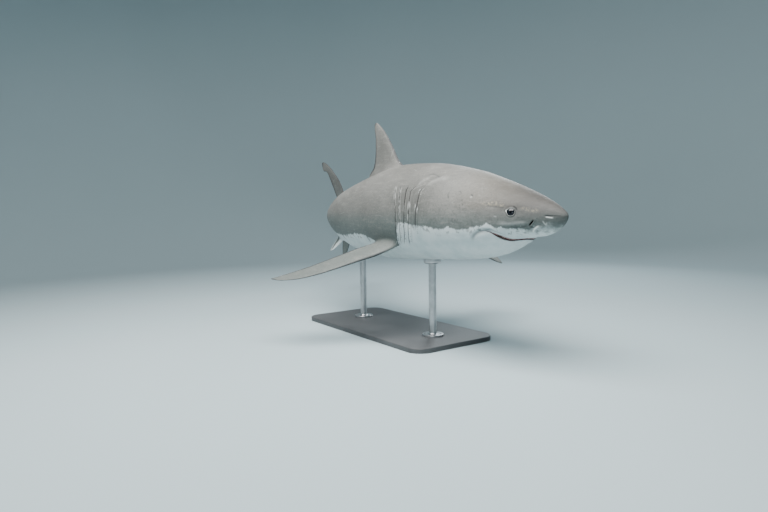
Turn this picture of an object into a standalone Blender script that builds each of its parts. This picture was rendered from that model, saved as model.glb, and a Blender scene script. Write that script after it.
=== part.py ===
"""Great white shark, 4 m long, a still life-size model on a plain display stand.

The shark is laid out straight: s runs back from the tip of the snout, y to its left and z up,
all as percent of its length. pose() then bends that layout to the swimming pose, tail swung to
the left, and sets it on the stand. The origin is the middle of the stand's underside.
"""
from math import atan2, cos, pi, radians, sin, sqrt

import bmesh
import bpy
from mathutils import Matrix, Vector

# Driving dimensions, in metres.
LENGTH = 4.0
PERCENT = LENGTH / 100
SNOUT_X = 1.58
SNOUT_Z = 0.86
GAP = 0.0003
EDGE = 0.0016

# The swing of the tail: where it starts and ends, in percent, and its angles.
SWING_START = 43.3
SWING_END = 98.3
SWING_ANGLE = radians(35.9)
SWING_REST = radians(2.8)
ROLL_START = 57.5
ROLL_END = 85.0
ROLL_ANGLE = radians(8.1)
PATH_STEPS = 400
PATH_END = 104.0

# Body section, in percent of length: (s, height of the back), belly, half width, widest level.
BACK = ((0, -0.2), (0.6, 0.6), (1.5, 1.22), (4.5, 2.73), (9.8, 4.8), (17.6, 7.24), (26.5, 8.76),
        (34, 9.1), (41, 8.2), (51, 6.2), (61, 4.45), (70, 3.05), (82, 1.7), (86, 1.4), (90, 0.5))
BELLY = ((0, -0.24), (0.6, -1.33), (1.5, -2.02), (2.6, -2.56), (4, -2.93), (6.2, -3.06),
         (7, -3.62), (8.9, -4.8), (11.6, -5.93), (15, -6.58), (25, -7.34), (37, -7.9),
         (47, -7.14), (58, -4.83), (74, -2.25), (82, -1.6), (86, -1.3), (90, -0.5))
HALF_WIDTH = ((0, 0), (0.6, 0.84), (1.5, 1.44), (3, 2.4), (6.8, 4.38), (12, 6.17), (19, 7.19),
              (28, 7.49), (37, 7.24), (47, 6.1), (57, 5.0), (66, 4.0), (74, 2.95), (79, 2.7),
              (83, 3.0), (87, 1.5), (90, 0.45))
WIDEST = ((0, -0.2), (3, -0.45), (7, -0.8), (12, -0.9), (20, -0.4), (30, 0.2), (45, 0.3),
          (60, 0.1), (82, 0.0), (90, 0.0))
# Section power: 2 is an ellipse, less comes to a ridge along the side, as the tail keel does.
FLANK_POWER = ((0, 2.0), (46, 2.0), (62, 1.65), (76, 1.3), (82, 1.0), (87, 1.2), (90, 1.6))
ROUND_NOSE = 0.5
SPOKES = 32

HEAD_END = 20.6
TRUNK_END = 61.0
TAIL_END = 89.4
SNOUT_RINGS = 8
SNOUT_SPAN = 6.0
RING_STEP = 2.5

# Fins: rows from root to tip, each (leading s, y, z), (trailing s, y, z), thickness.
FIRST_DORSAL = (((34.4, 0, 6.2), (45.0, 0, 5.6), 2.1), ((35.4, 0, 8.8), (46.6, 0, 7.75), 1.5),
                ((36.7, 0, 10.0), (45.1, 0, 9.4), 1.15), ((38.9, 0, 13.2), (44.4, 0, 11.7), 0.85),
                ((41.3, 0, 16.05), (44.2, 0, 14.6), 0.52), ((43.0, 0, 17.45), (44.5, 0, 16.7), 0.3),
                ((43.9, 0, 17.95), (44.6, 0, 17.55), 0.16))
SECOND_DORSAL = (((71.6, 0, 1.2), (74.6, 0, 1.2), 0.5), ((72.2, 0, 2.8), (75.7, 0, 3.05), 0.35),
                 ((73.1, 0, 3.7), (74.7, 0, 3.5), 0.22), ((73.9, 0, 4.3), (74.5, 0, 4.2), 0.12))
ANAL = (((75.3, 0, -0.9), (78.4, 0, -0.9), 0.5), ((75.9, 0, -2.2), (79.4, 0, -2.6), 0.35),
        ((76.8, 0, -3.2), (78.5, 0, -3.1), 0.22), ((77.7, 0, -3.85), (78.3, 0, -3.75), 0.12))
PECTORAL = (((29.0, 4.6, -3.7), (34.9, 4.3, -3.6), 1.7), ((29.6, 6.1, -4.9), (35.9, 5.9, -4.6), 1.4),
            ((30.6, 9.0, -6.3), (37.2, 9.0, -5.6), 1.1), ((32.0, 12.0, -7.3), (38.0, 12.0, -6.6), 0.85),
            ((33.7, 15.0, -8.4), (38.9, 15.0, -7.65), 0.65), ((35.6, 18.0, -9.45), (40.1, 18.0, -8.7), 0.48),
            ((37.8, 21.0, -10.2), (41.2, 21.0, -9.6), 0.32), ((39.5, 22.8, -10.35), (41.7, 22.9, -10.1), 0.2),
            ((40.9, 23.6, -10.25), (41.6, 23.7, -10.2), 0.12))
PELVIC = (((52.6, 2.4, -3.0), (57.8, 1.9, -2.6), 0.8), ((53.6, 3.0, -4.6), (59.8, 2.3, -4.4), 0.55),
          ((55.4, 3.6, -5.7), (60.6, 2.9, -5.6), 0.38), ((57.2, 4.0, -6.8), (59.8, 3.7, -6.7), 0.22),
          ((58.4, 4.3, -7.35), (59.1, 4.25, -7.4), 0.12))
CAUDAL_UPPER = (((82.2, 0, 0.0), (91.3, 0, -0.1), 1.0), ((83.4, 0, 1.7), (91.6, 0, 1.6), 0.95),
                ((86.7, 0, 5.9), (93.0, 0, 4.6), 0.6), ((89.2, 0, 9.2), (94.7, 0, 7.9), 0.42),
                ((92.0, 0, 11.5), (96.1, 0, 10.7), 0.32), ((94.6, 0, 13.5), (97.5, 0, 12.5), 0.24),
                ((97.4, 0, 15.0), (99.1, 0, 12.75), 0.16), ((99.0, 0, 15.4), (99.8, 0, 14.6), 0.12))
CAUDAL_LOWER = (((82.2, 0, 0.0), (91.3, 0, -0.1), 1.0), ((83.6, 0, -1.7), (91.5, 0, -1.6), 0.9),
                ((86.9, 0, -5.5), (92.7, 0, -4.6), 0.55), ((89.6, 0, -8.3), (93.9, 0, -7.6), 0.36),
                ((92.2, 0, -10.7), (94.8, 0, -10.2), 0.24), ((94.3, 0, -12.5), (95.5, 0, -12.2), 0.15),
                ((95.3, 0, -13.1), (95.8, 0, -13.0), 0.12))
# How each pectoral fin differs from the rows above: the angle it swings forward about the middle
# of its root, how far it arches up at mid span, and how steeply its trailing edge rises at the tip.
PECTORAL_ROOT = Vector((32.5, 6.0, -4.7))
PECTORAL_SPAN = 17.6
PECTORAL_POSE = {"left": (radians(17.5), 0.8, 0.45), "right": (0.0, 0.0, 0.0)}
FIN_SPOKES = 14
RINGS_PER_ROW = 2

# Mouth, percent of length: an ellipse in plan, its line rising to the corners.
MOUTH_FRONT = 6.3
MOUTH_HALF_WIDTH = 4.95
MOUTH_DEPTH = 3.3
MOUTH_LEVEL = -3.45
MOUTH_RISE = 1.3
MOUTH_RISE_POWER = 4
MOUTH_OPEN = 0.0125
MOUTH_OPEN_END = 8.6
MOUTH_CORNER = 10.9
JAW_HINGE_TOP = 11.2
JAW_HINGE_FOOT = 12.8
JAW_FLOOR = -9.0
JAW_SLICES = 12

# Teeth, metres.
TEETH_PER_SIDE = 9
TOOTH_HEIGHT = 0.0085
TOOTH_WIDTH = 0.009
TOOTH_THICK = 0.0036
TOOTH_ROOT = 0.004
UPPER_ROW_INSET = 0.35
LOWER_ROW_INSET = 0.85
TEETH_SPREAD = radians(64)

# Eye and nostril: place on the section, in percent and as an angle below the widest level.
EYE_S = 6.18
EYE_LEVEL = 0.46
EYE_RADIUS = 0.027
EYE_HALF_DEPTH = 0.018
EYE_SINK = 0.0115
NOSTRIL_S = 3.7
NOSTRIL_LEVEL = -1.05
NOSTRIL_SIZE = (0.006, 0.013, 0.012)
NOSTRIL_TILT = radians(25)

# Gill slits, percent of length: first slit and the step to the next, at three heights.
GILL_COUNT = 5
GILL_TOP = (21.6, 1.87)
GILL_MIDDLE = (22.45, 1.27)
GILL_FOOT = (26.8, 0.68)
GILL_TOP_LEVEL = 4.9
GILL_FOOT_LEVEL = -4.8
GILL_SLICES = 4
GILL_WIDTH = 0.004
GILL_DEPTH = 0.016
GILL_LEAN = 0.012

# Stand, metres.
BASE_SIZE = (1.50, 0.70, 0.032)
BASE_CORNER = 0.11
BASE_BEVEL = 0.006
ROD_PLACES = (27.5, 50.0)
ROD_RADIUS = 0.026
FOOT_RADIUS = 0.075
FOOT_HEIGHT = 0.012
SADDLE_RADIUS = 0.06
SADDLE_DROP = 0.03
FILLET = 0.012
ROUND_STEPS = 16

COLORS = {"back": (0.27, 0.26, 0.23), "jaw": (0.62, 0.64, 0.62), "fin": (0.24, 0.23, 0.21),
          "eye": (0.006, 0.007, 0.008), "stand": (0.05, 0.052, 0.055), "steel": (0.55, 0.55, 0.56)}


def clear_scene():
    for item in list(bpy.data.objects):
        bpy.data.objects.remove(item, do_unlink=True)


def curve_at(points, place, power=1.0):
    """Height at place of the smooth curve through the points, with no overshoot between them."""
    xs = [x ** power for x, _ in points]
    ys = [y for _, y in points]
    x = min(max(place, points[0][0]), points[-1][0]) ** power
    runs = [b - a for a, b in zip(xs, xs[1:])]
    rises = [(b - a) / run for a, b, run in zip(ys, ys[1:], runs)]
    slopes = [rises[0]]
    for before, after, left, right in zip(rises, rises[1:], runs, runs[1:]):
        if before * after <= 0:
            slopes.append(0.0)
        else:
            near, far = 2 * right + left, right + 2 * left
            slopes.append((near + far) / (near / before + far / after))
    slopes.append(rises[-1])
    i = 0
    while i < len(runs) - 1 and x > xs[i + 1]:
        i += 1
    u = (x - xs[i]) / runs[i]
    start = (1 + 2 * u) * (1 - u) ** 2 * ys[i] + u * (1 - u) ** 2 * runs[i] * slopes[i]
    end = u * u * (3 - 2 * u) * ys[i + 1] + u * u * (u - 1) * runs[i] * slopes[i + 1]
    return start + end


def smooth(share):
    share = min(max(share, 0.0), 1.0)
    return share * share * (3 - 2 * share)


def heading(s):
    """Angle of the backbone at s, to the shark's left of straight back."""
    share = min(max((s - SWING_START) / (SWING_END - SWING_START), 0.0), 1.0)
    return SWING_ANGLE * sin(pi * share) ** 2 + SWING_REST * smooth(share)


def backbone():
    """Points along the bent backbone, one for each step of s, in metres from the snout."""
    step = PATH_END / PATH_STEPS
    points = [(0.0, 0.0)]
    for i in range(PATH_STEPS):
        angle = heading((i + 0.5) * step)
        x, y = points[-1]
        points.append((x - cos(angle) * step * PERCENT, y + sin(angle) * step * PERCENT))
    return points


BACKBONE = backbone()


def pose(s, y, z):
    """World place of a point of the straight layout."""
    share = max(s, 0.0) / PATH_END * PATH_STEPS
    i = min(int(share), PATH_STEPS - 1)
    (x0, y0), (x1, y1) = BACKBONE[i], BACKBONE[i + 1]
    middle_x = x0 + (x1 - x0) * (share - i) - min(s, 0.0) * PERCENT
    middle_y = y0 + (y1 - y0) * (share - i)
    roll = ROLL_ANGLE * smooth((s - ROLL_START) / (ROLL_END - ROLL_START))
    across = (y * cos(roll) - z * sin(roll)) * PERCENT
    up = (y * sin(roll) + z * cos(roll)) * PERCENT
    turn = heading(s)
    return Vector((SNOUT_X + middle_x + across * sin(turn), middle_y + across * cos(turn), SNOUT_Z + up))


def section_point(s, angle, grow=0.0):
    """Point of the body section at s, angle 0 on the left flank and 90 degrees on the back."""
    top = curve_at(BACK, s, ROUND_NOSE) + grow
    foot = curve_at(BELLY, s, ROUND_NOSE) - grow
    half = curve_at(HALF_WIDTH, s, ROUND_NOSE) + grow
    level = min(max(curve_at(WIDEST, s), foot * 0.6), max(top * 0.6, foot * 0.6))
    power = 2 / curve_at(FLANK_POWER, s)
    across, up = cos(angle), sin(angle)
    y = half * abs(across) ** power * (1 if across >= 0 else -1)
    reach = top - level if up >= 0 else foot - level
    return s, y, level + reach * abs(up) ** power


def flank_place(s, level, side):
    """Point on the flank at that level, and its outward direction, both in the straight layout."""
    low, high = -pi / 2, pi / 2
    for _ in range(40):
        angle = (low + high) / 2
        if section_point(s, angle)[2] < level:
            low = angle
        else:
            high = angle
    step = 0.02
    here = Vector(section_point(s, angle))
    along = Vector(section_point(s + step, angle)) - here
    around = Vector(section_point(s, angle + step)) - here
    outward = along.cross(around).normalized()
    if outward.y < 0:
        outward = -outward
    here.y *= side
    outward.y *= side
    return here, outward


def make_material(name, color, roughness, metallic=0.0):
    material = bpy.data.materials.new(name)
    material.use_nodes = True
    shader = material.node_tree.nodes["Principled BSDF"]
    shader.inputs["Base Color"].default_value = (*color, 1.0)
    shader.inputs["Roughness"].default_value = roughness
    shader.inputs["Metallic"].default_value = metallic
    return material


def add_object(name, mesh):
    """Object of the bmesh, its faces turned outward and shaded smooth."""
    bmesh.ops.recalc_face_normals(mesh, faces=mesh.faces[:])
    data = bpy.data.meshes.new(name)
    mesh.to_mesh(data)
    mesh.free()
    data.shade_smooth()
    data.set_sharp_from_angle(angle=radians(40))
    item = bpy.data.objects.new(name, data)
    bpy.context.collection.objects.link(item)
    return item


def finish_part(item, color, roughness=0.5, metallic=0.0):
    item.data.materials.append(make_material(item.name, COLORS[color], roughness, metallic))
    return item


def hide_guide(item):
    item.hide_render = True
    item.display_type = "WIRE"
    return item


def combine(item, other, operation):
    modifier = item.modifiers.new(other.name, "BOOLEAN")
    modifier.operation = operation
    modifier.solver = "EXACT"
    modifier.object = other
    return item


def loft(name, rings):
    """Closed body through equal rings: a circle extruded from ring to ring and capped."""
    mesh = bmesh.new()
    spoke = mesh.verts.layers.int.new("spoke")
    verts = bmesh.ops.create_circle(mesh, cap_ends=False, segments=len(rings[0]), radius=1.0)["verts"]
    for number, vert in enumerate(sorted(verts, key=lambda v: atan2(v.co.y, v.co.x) % (2 * pi))):
        vert[spoke] = number
    edges = mesh.edges[:]
    place_ring(verts, spoke, rings[0])
    bmesh.ops.edgeloop_fill(mesh, edges=edges)
    for ring in rings[1:]:
        made = bmesh.ops.extrude_edge_only(mesh, edges=edges)["geom"]
        edges = [part for part in made if isinstance(part, bmesh.types.BMEdge)]
        place_ring([part for part in made if isinstance(part, bmesh.types.BMVert)], spoke, ring)
    bmesh.ops.edgeloop_fill(mesh, edges=edges)
    bmesh.ops.triangulate(mesh, faces=mesh.faces[:], quad_method="FIXED")
    return add_object(name, mesh)


def place_ring(verts, spoke, ring):
    for vert in verts:
        vert.co = ring[vert[spoke]]


def body_rings(start, end, grow=0.0):
    """Posed rings of the body from start to end, closer together on the snout."""
    places = [SNOUT_SPAN * (i / SNOUT_RINGS) ** 2 for i in range(1, SNOUT_RINGS + 1)]
    while places[-1] < TAIL_END:
        places.append(places[-1] + RING_STEP)
    inner = [s for s in places if start + 0.3 < s < end - 0.3]
    angles = [2 * pi * i / SPOKES for i in range(SPOKES)]
    return [[pose(*section_point(s, angle, grow)) for angle in angles] for s in [start, *inner, end]]


def body_piece(name, start, end, color):
    return finish_part(loft(name, body_rings(start, end)), color)


def body_cutter():
    """Guide with the outline of the trunk and tail, larger by the gap that touching parts keep."""
    grow = GAP * 1.5 / PERCENT
    return hide_guide(loft("body_cutter", body_rings(HEAD_END, TAIL_END + grow, grow)))


def wing_section(lead, trail, thickness, normal):
    """Ring round a fin's section: blunt leading edge, widest at a third, thin trailing edge."""
    ring = []
    chord = Vector(trail) - Vector(lead)
    for i in range(FIN_SPOKES):
        angle = 2 * pi * (i + 0.5) / FIN_SPOKES
        share = (1 - cos(angle)) / 2
        swell = 2.6 * sqrt(share) * (1 - share) ** 1.1
        half = max(thickness * swell / 2, EDGE / PERCENT / 2)
        side = half if sin(angle) >= 0 else -half
        ring.append(pose(*(Vector(lead) + chord * share + normal * side)))
    return ring


def fin_rings(rows, side=1):
    """Rings of a fin, from smooth curves through its rows."""
    steps = (len(rows) - 1) * RINGS_PER_ROW
    tracks = [[(i, value) for i, value in enumerate(values)] for values in zip(*map(flatten, rows))]
    rings = []
    for step in range(steps + 1):
        numbers = [curve_at(track, step / RINGS_PER_ROW) for track in tracks]
        ahead = [curve_at(track, step / RINGS_PER_ROW + 0.1) for track in tracks]
        behind = [curve_at(track, step / RINGS_PER_ROW - 0.1) for track in tracks]
        span = Vector(ahead[0:3]) + Vector(ahead[3:6]) - Vector(behind[0:3]) - Vector(behind[3:6])
        lead, trail = Vector(numbers[0:3]), Vector(numbers[3:6])
        normal = (trail - lead).cross(span).normalized()
        for vector in (lead, trail, normal):
            vector.y *= side
        rings.append(wing_section(lead, trail, numbers[6], normal))
    return rings


def flatten(row):
    return (*row[0], *row[1], row[2])


def pectoral_rows(label):
    """The pectoral fin's rows, posed for one side."""
    swing, arch, twist = PECTORAL_POSE[label]
    turn = Matrix.Rotation(swing, 3, "Z")
    rows = []
    for lead, trail, thickness in PECTORAL:
        share = max((lead[1] - PECTORAL_ROOT.y) / PECTORAL_SPAN, 0.0)
        lift = Vector((0, 0, arch * 4 * share * (1 - share)))
        rise = Vector((0, 0, twist * share * (trail[0] - lead[0])))
        lead = turn @ (Vector(lead) + lift - PECTORAL_ROOT) + PECTORAL_ROOT
        trail = turn @ (Vector(trail) + lift + rise - PECTORAL_ROOT) + PECTORAL_ROOT
        rows.append((lead, trail, thickness))
    return rows


def fin_piece(name, rows, cutter, side=1):
    """A fin as one solid that meets the body's side."""
    return finish_part(combine(loft(name, fin_rings(rows, side)), cutter, "DIFFERENCE"), "fin")


def caudal_lobe(name, rows, cutter, facing):
    """One lobe of the tail fin, parted from the other at the level of the backbone."""
    lobe = fin_piece(name, rows, cutter)
    reach = 14.0
    half = 3.0
    corners = ((78.0, -half), (96.0, -half), (96.0, half), (78.0, half))
    edge = GAP / 2 / PERCENT * -facing
    rings = [[pose(s, y, z) for s, y in corners] for z in (edge, -facing * reach)]
    combine(lobe, hide_guide(loft(name + "_cutter", rings)), "DIFFERENCE")
    return lobe


def mouth_height(y):
    return MOUTH_LEVEL + MOUTH_RISE * min(abs(y) / MOUTH_HALF_WIDTH, 1.1) ** MOUTH_RISE_POWER


def mouth_opening(s):
    """Height of the mouth's opening in percent, closing towards the corner."""
    closed = smooth((s - MOUTH_OPEN_END) / (MOUTH_CORNER - MOUTH_OPEN_END))
    return (GAP + MOUTH_OPEN * (1 - closed)) / PERCENT


def jaw_block(name, lift, grow):
    """Block that bounds the lower jaw: the mouth surface above, the hinge face behind."""
    rings = []
    for i in range(JAW_SLICES + 1):
        y = 7.6 * (2 * i / JAW_SLICES - 1)
        roof = mouth_height(y)
        places = (3.0, 6.0, MOUTH_OPEN_END, (MOUTH_OPEN_END + MOUTH_CORNER) / 2, MOUTH_CORNER)
        ring = [(s, y, roof + lift * mouth_opening(s)) for s in places]
        ring.append((JAW_HINGE_TOP + grow, y, roof + lift * mouth_opening(JAW_HINGE_TOP)))
        ring.append((JAW_HINGE_FOOT + grow, y, JAW_FLOOR))
        ring.append((3.0, y, JAW_FLOOR))
        rings.append([pose(*point) for point in ring])
    return hide_guide(loft(name, rings))


def teeth(name, inset, height_of, up):
    """Row of flat pointed teeth round the mouth's ellipse, sunk a little into the gum."""
    mesh = bmesh.new()
    for i in range(2 * TEETH_PER_SIDE):
        angle = TEETH_SPREAD * (2 * (i + 0.5) / (2 * TEETH_PER_SIDE) - 1)
        y = (MOUTH_HALF_WIDTH - inset) * sin(angle)
        s = MOUTH_FRONT + inset + MOUTH_DEPTH * (1 - cos(angle))
        size = 1 - 0.35 * abs(angle) / TEETH_SPREAD
        tall = TOOTH_HEIGHT * size + TOOTH_ROOT
        tooth = bmesh.ops.create_cone(mesh, cap_ends=True, segments=4, radius1=0.7, radius2=0.0, depth=1.0)
        shape = Matrix.Diagonal((TOOTH_THICK, TOOTH_WIDTH * size, tall * up, 1))
        turn = Matrix.Rotation(-angle, 4, "Z") @ shape @ Matrix.Rotation(pi / 4, 4, "Z")
        foot = pose(s, y, height_of(s, y))
        middle = foot + Vector((0, 0, up * (tall / 2 - TOOTH_ROOT)))
        bmesh.ops.transform(mesh, matrix=Matrix.Translation(middle) @ turn, verts=tooth["verts"])
    return hide_guide(add_object(name, mesh))


def ball(name, s, level, side, radii, sink, tilt=0.0):
    """Flattened ball set into the flank, radii across, up and into the body."""
    here, outward = flank_place(s, level, side)
    middle = pose(*here)
    direction = (pose(*(here + outward)) - middle).normalized()
    up = Vector((0, 0, 1))
    across = up.cross(direction).normalized()
    up = direction.cross(across)
    axes = Matrix((across, up, direction)).transposed().to_4x4()
    mesh = bmesh.new()
    bmesh.ops.create_uvsphere(mesh, u_segments=14, v_segments=7, radius=1.0)
    spin = Matrix.Rotation(tilt * side, 4, "Z")
    size = Matrix.Diagonal((*radii, 1))
    place = Matrix.Translation(middle - direction * sink)
    bmesh.ops.transform(mesh, matrix=place @ axes @ spin @ size, verts=mesh.verts)
    return add_object(name, mesh)


def side_name(side):
    return "left" if side > 0 else "right"


def head_parts():
    """Head with its mouth, sockets and nostrils, the lower jaw and the two eyes."""
    head = body_piece("head", 0.02, HEAD_END - GAP / 2 / PERCENT, "back")
    jaw = body_piece("lower_jaw", 0.02, HEAD_END - GAP / 2 / PERCENT, "jaw")
    lower = teeth("lower_teeth", LOWER_ROW_INSET, lambda s, y: mouth_height(y), 1)
    upper = teeth("upper_teeth", UPPER_ROW_INSET, lambda s, y: mouth_height(y) + mouth_opening(s), -1)
    combine(jaw, combine(jaw_block("jaw_block", 0, 0), lower, "UNION"), "INTERSECT")
    mouth = combine(jaw_block("mouth_cutter", 1, GAP / PERCENT), upper, "DIFFERENCE")
    combine(head, mouth, "DIFFERENCE")
    for side in (1, -1):
        label = side_name(side)
        radii = (EYE_RADIUS, EYE_RADIUS, EYE_HALF_DEPTH)
        socket_radii = tuple(radius + GAP * 2 for radius in radii)
        socket = ball("socket_" + label, EYE_S, EYE_LEVEL, side, socket_radii, EYE_SINK)
        combine(head, hide_guide(socket), "DIFFERENCE")
        nostril = ball("nostril_" + label, NOSTRIL_S, NOSTRIL_LEVEL, side, NOSTRIL_SIZE, 0.0, NOSTRIL_TILT)
        combine(head, hide_guide(nostril), "DIFFERENCE")
        eye = ball("eye_" + label, EYE_S, EYE_LEVEL, side, radii, EYE_SINK)
        finish_part(eye, "eye", 0.08)
    return head


def gill_cutter(name, number, side):
    """Thin blade along one gill slit, leaning back as it goes in."""
    rings = []
    for i in range(GILL_SLICES + 1):
        h = 2 * i / GILL_SLICES - 1
        top, middle, foot = (first + step * number for first, step in (GILL_TOP, GILL_MIDDLE, GILL_FOOT))
        s = middle + (top - foot) / 2 * h + ((top + foot) / 2 - middle) * h * h
        level = GILL_FOOT_LEVEL + (GILL_TOP_LEVEL - GILL_FOOT_LEVEL) * (h + 1) / 2
        here, outward = flank_place(s, level, side)
        half = Vector((GILL_WIDTH / 2 / PERCENT, 0, 0))
        deep = outward * -(GILL_DEPTH * (1 - 0.5 * h * h) / PERCENT) + Vector((GILL_LEAN / PERCENT, 0, 0))
        out = outward * (0.01 / PERCENT)
        rings.append([pose(*point) for point in
                      (here + out - half, here + out + half, here + deep + half, here + deep - half)])
    return hide_guide(loft(name, rings))


def trunk_piece():
    trunk = body_piece("trunk", HEAD_END + GAP / 2 / PERCENT, TRUNK_END - GAP / 2 / PERCENT, "back")
    for side in (1, -1):
        for number in range(GILL_COUNT):
            name = f"gill_{side_name(side)}_{number + 1}"
            combine(trunk, gill_cutter(name, number, side), "DIFFERENCE")
    return trunk


def fins():
    cutter = body_cutter()
    fin_piece("dorsal_fin_first", FIRST_DORSAL, cutter)
    fin_piece("dorsal_fin_second", SECOND_DORSAL, cutter)
    fin_piece("anal_fin", ANAL, cutter)
    for side in (1, -1):
        label = side_name(side)
        fin_piece("pectoral_fin_" + label, pectoral_rows(label), cutter, side)
        fin_piece("pelvic_fin_" + label, PELVIC, cutter, side)
    caudal_lobe("caudal_fin_upper", CAUDAL_UPPER, cutter, 1)
    caudal_lobe("caudal_fin_lower", CAUDAL_LOWER, cutter, -1)
    return cutter


def stand_base():
    """Flat plate with rounded corners and a bevelled rim, resting on the ground."""
    length, width, height = BASE_SIZE
    mesh = bmesh.new()
    bmesh.ops.create_cube(mesh, size=1.0)
    middle = Matrix.Translation((0, 0, height / 2))
    bmesh.ops.transform(mesh, matrix=middle @ Matrix.Diagonal((length, width, height, 1)), verts=mesh.verts)
    upright = [edge for edge in mesh.edges if abs(edge.verts[0].co.z - edge.verts[1].co.z) > height / 2]
    bmesh.ops.bevel(mesh, geom=upright, offset=BASE_CORNER, segments=7, profile=0.5, affect="EDGES")
    rim = [edge for edge in mesh.edges if all(vert.co.z > height * 0.9 for vert in edge.verts)]
    bmesh.ops.bevel(mesh, geom=rim, offset=BASE_BEVEL, segments=2, profile=0.5, affect="EDGES")
    return finish_part(add_object("stand_base", mesh), "stand", 0.55)


def stand_rod(name, s, cutter):
    """Turned rod with a foot plate below and a saddle above that fits the belly."""
    foot = pose(s, 0, 0)
    floor = BASE_SIZE[2] + GAP
    belly = pose(s, 0, curve_at(BELLY, s)).z
    neck = belly - SADDLE_DROP
    profile = [(FOOT_RADIUS, floor), (FOOT_RADIUS, floor + FOOT_HEIGHT)]
    for i in range(4):
        angle = pi / 2 * i / 3
        profile.append((ROD_RADIUS + FILLET * (1 - sin(angle)), floor + FOOT_HEIGHT + FILLET * (1 - cos(angle))))
    profile += [(ROD_RADIUS, neck), (SADDLE_RADIUS, neck + FILLET), (SADDLE_RADIUS, belly + 0.03)]
    angles = [2 * pi * i / ROUND_STEPS for i in range(ROUND_STEPS)]
    rings = [[Vector((foot.x + r * cos(a), foot.y + r * sin(a), z)) for a in angles] for r, z in profile]
    return finish_part(combine(loft(name, rings), cutter, "DIFFERENCE"), "steel", 0.3, 1.0)


def build():
    clear_scene()
    head_parts()
    trunk_piece()
    body_piece("tail", TRUNK_END + GAP / 2 / PERCENT, TAIL_END, "back")
    cutter = fins()
    stand_base()
    for name, s in zip(("stand_rod_front", "stand_rod_rear"), ROD_PLACES):
        stand_rod(name, s, cutter)


build()
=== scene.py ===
"""Looks of the life-size great white shark: skin, teeth, eyes, display stand and studio.

The shark is laid out straight: s runs back from the tip of the snout, y to its left and z up,
all as percent of its length. pose() bends that layout to the swimming pose of the frame. The
skin is modelled straight, in metres with x forward from the snout, and posed last.
"""

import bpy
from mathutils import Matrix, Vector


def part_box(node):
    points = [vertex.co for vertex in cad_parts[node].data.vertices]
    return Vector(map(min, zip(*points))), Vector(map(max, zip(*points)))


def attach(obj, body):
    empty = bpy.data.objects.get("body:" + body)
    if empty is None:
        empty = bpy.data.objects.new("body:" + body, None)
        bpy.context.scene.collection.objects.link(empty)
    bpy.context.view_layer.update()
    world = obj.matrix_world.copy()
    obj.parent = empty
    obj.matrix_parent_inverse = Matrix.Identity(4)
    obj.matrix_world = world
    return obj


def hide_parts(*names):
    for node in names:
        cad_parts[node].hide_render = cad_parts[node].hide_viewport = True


bl_info = {
    "name": "Great White Shark Looks",
    "version": (1, 0, 0),
    "blender": (4, 5, 0),
    "location": "3D View > Sidebar > Shark",
    "description": "Skin, teeth, eyes, stand and studio of a life-size great white shark",
    "category": "Object",
}

from bisect import bisect_right
from math import atan2, cos, exp, hypot, pi, radians, sin, sqrt

import bmesh
import bpy
from bpy.props import FloatProperty, FloatVectorProperty, IntProperty
from mathutils import Matrix, Vector, noise
from mathutils.bvhtree import BVHTree
from mathutils.kdtree import KDTree

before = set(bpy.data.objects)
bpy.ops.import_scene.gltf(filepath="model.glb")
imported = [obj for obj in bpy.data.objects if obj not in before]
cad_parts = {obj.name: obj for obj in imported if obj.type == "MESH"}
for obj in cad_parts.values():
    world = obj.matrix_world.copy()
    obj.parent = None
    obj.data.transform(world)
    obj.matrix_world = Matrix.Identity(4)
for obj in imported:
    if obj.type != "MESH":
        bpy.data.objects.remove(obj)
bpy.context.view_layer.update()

# Driving dimensions, in metres.
LENGTH = 4.0
PERCENT = LENGTH / 100
MM = 0.001
SNOUT_X = 1.58
SNOUT_Z = 0.86
FIN_EDGE = 0.0016

# The swing of the tail: where it starts and ends, in percent, and its angles.
SWING_START = 43.3
SWING_END = 98.3
SWING_ANGLE = radians(35.9)
SWING_REST = radians(2.8)
ROLL_START = 57.5
ROLL_END = 85.0
ROLL_ANGLE = radians(8.1)
PATH_STEPS = 400
PATH_END = 104.0

# Body, in percent of length, each by s: heights of the back and belly, half width, height of the
# widest point, and how square its section is.
BACK = ((0, -0.2), (0.6, 0.6), (1.5, 1.22), (4.5, 2.73), (9.8, 4.8), (17.6, 7.24), (26.5, 8.76),
        (34, 9.1), (41, 8.2), (51, 6.2), (61, 4.45), (70, 3.05), (82, 1.7), (86, 1.4), (90, 0.5))
BELLY = ((0, -0.24), (0.6, -1.33), (1.5, -2.02), (2.6, -2.56), (4, -2.93), (6.2, -3.06),
         (7, -3.62), (8.9, -4.8), (11.6, -5.93), (15, -6.58), (25, -7.34), (37, -7.9),
         (47, -7.14), (58, -4.83), (74, -2.25), (82, -1.6), (86, -1.3), (90, -0.5))
HALF_WIDTH = ((0, 0), (0.6, 0.84), (1.5, 1.44), (3, 2.4), (6.8, 4.38), (12, 6.17), (19, 7.19),
              (28, 7.49), (37, 7.24), (47, 6.1), (57, 5.0), (66, 4.0), (74, 2.95), (79, 2.7),
              (83, 3.0), (87, 1.5), (90, 0.45))
WIDEST = ((0, -0.2), (3, -0.45), (7, -0.8), (12, -0.9), (20, -0.4), (30, 0.2), (45, 0.3),
          (60, 0.1), (82, 0.0), (90, 0.0))
FLANK_POWER = ((0, 2.0), (46, 2.0), (62, 1.65), (76, 1.3), (82, 1.0), (87, 1.2), (90, 1.6))
# Power of s in those curves, which rounds the nose, and where the body's end is rounded off.
ROUND_NOSE = 0.5
TAIL_START = 88.0
TAIL_END = 89.4

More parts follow.
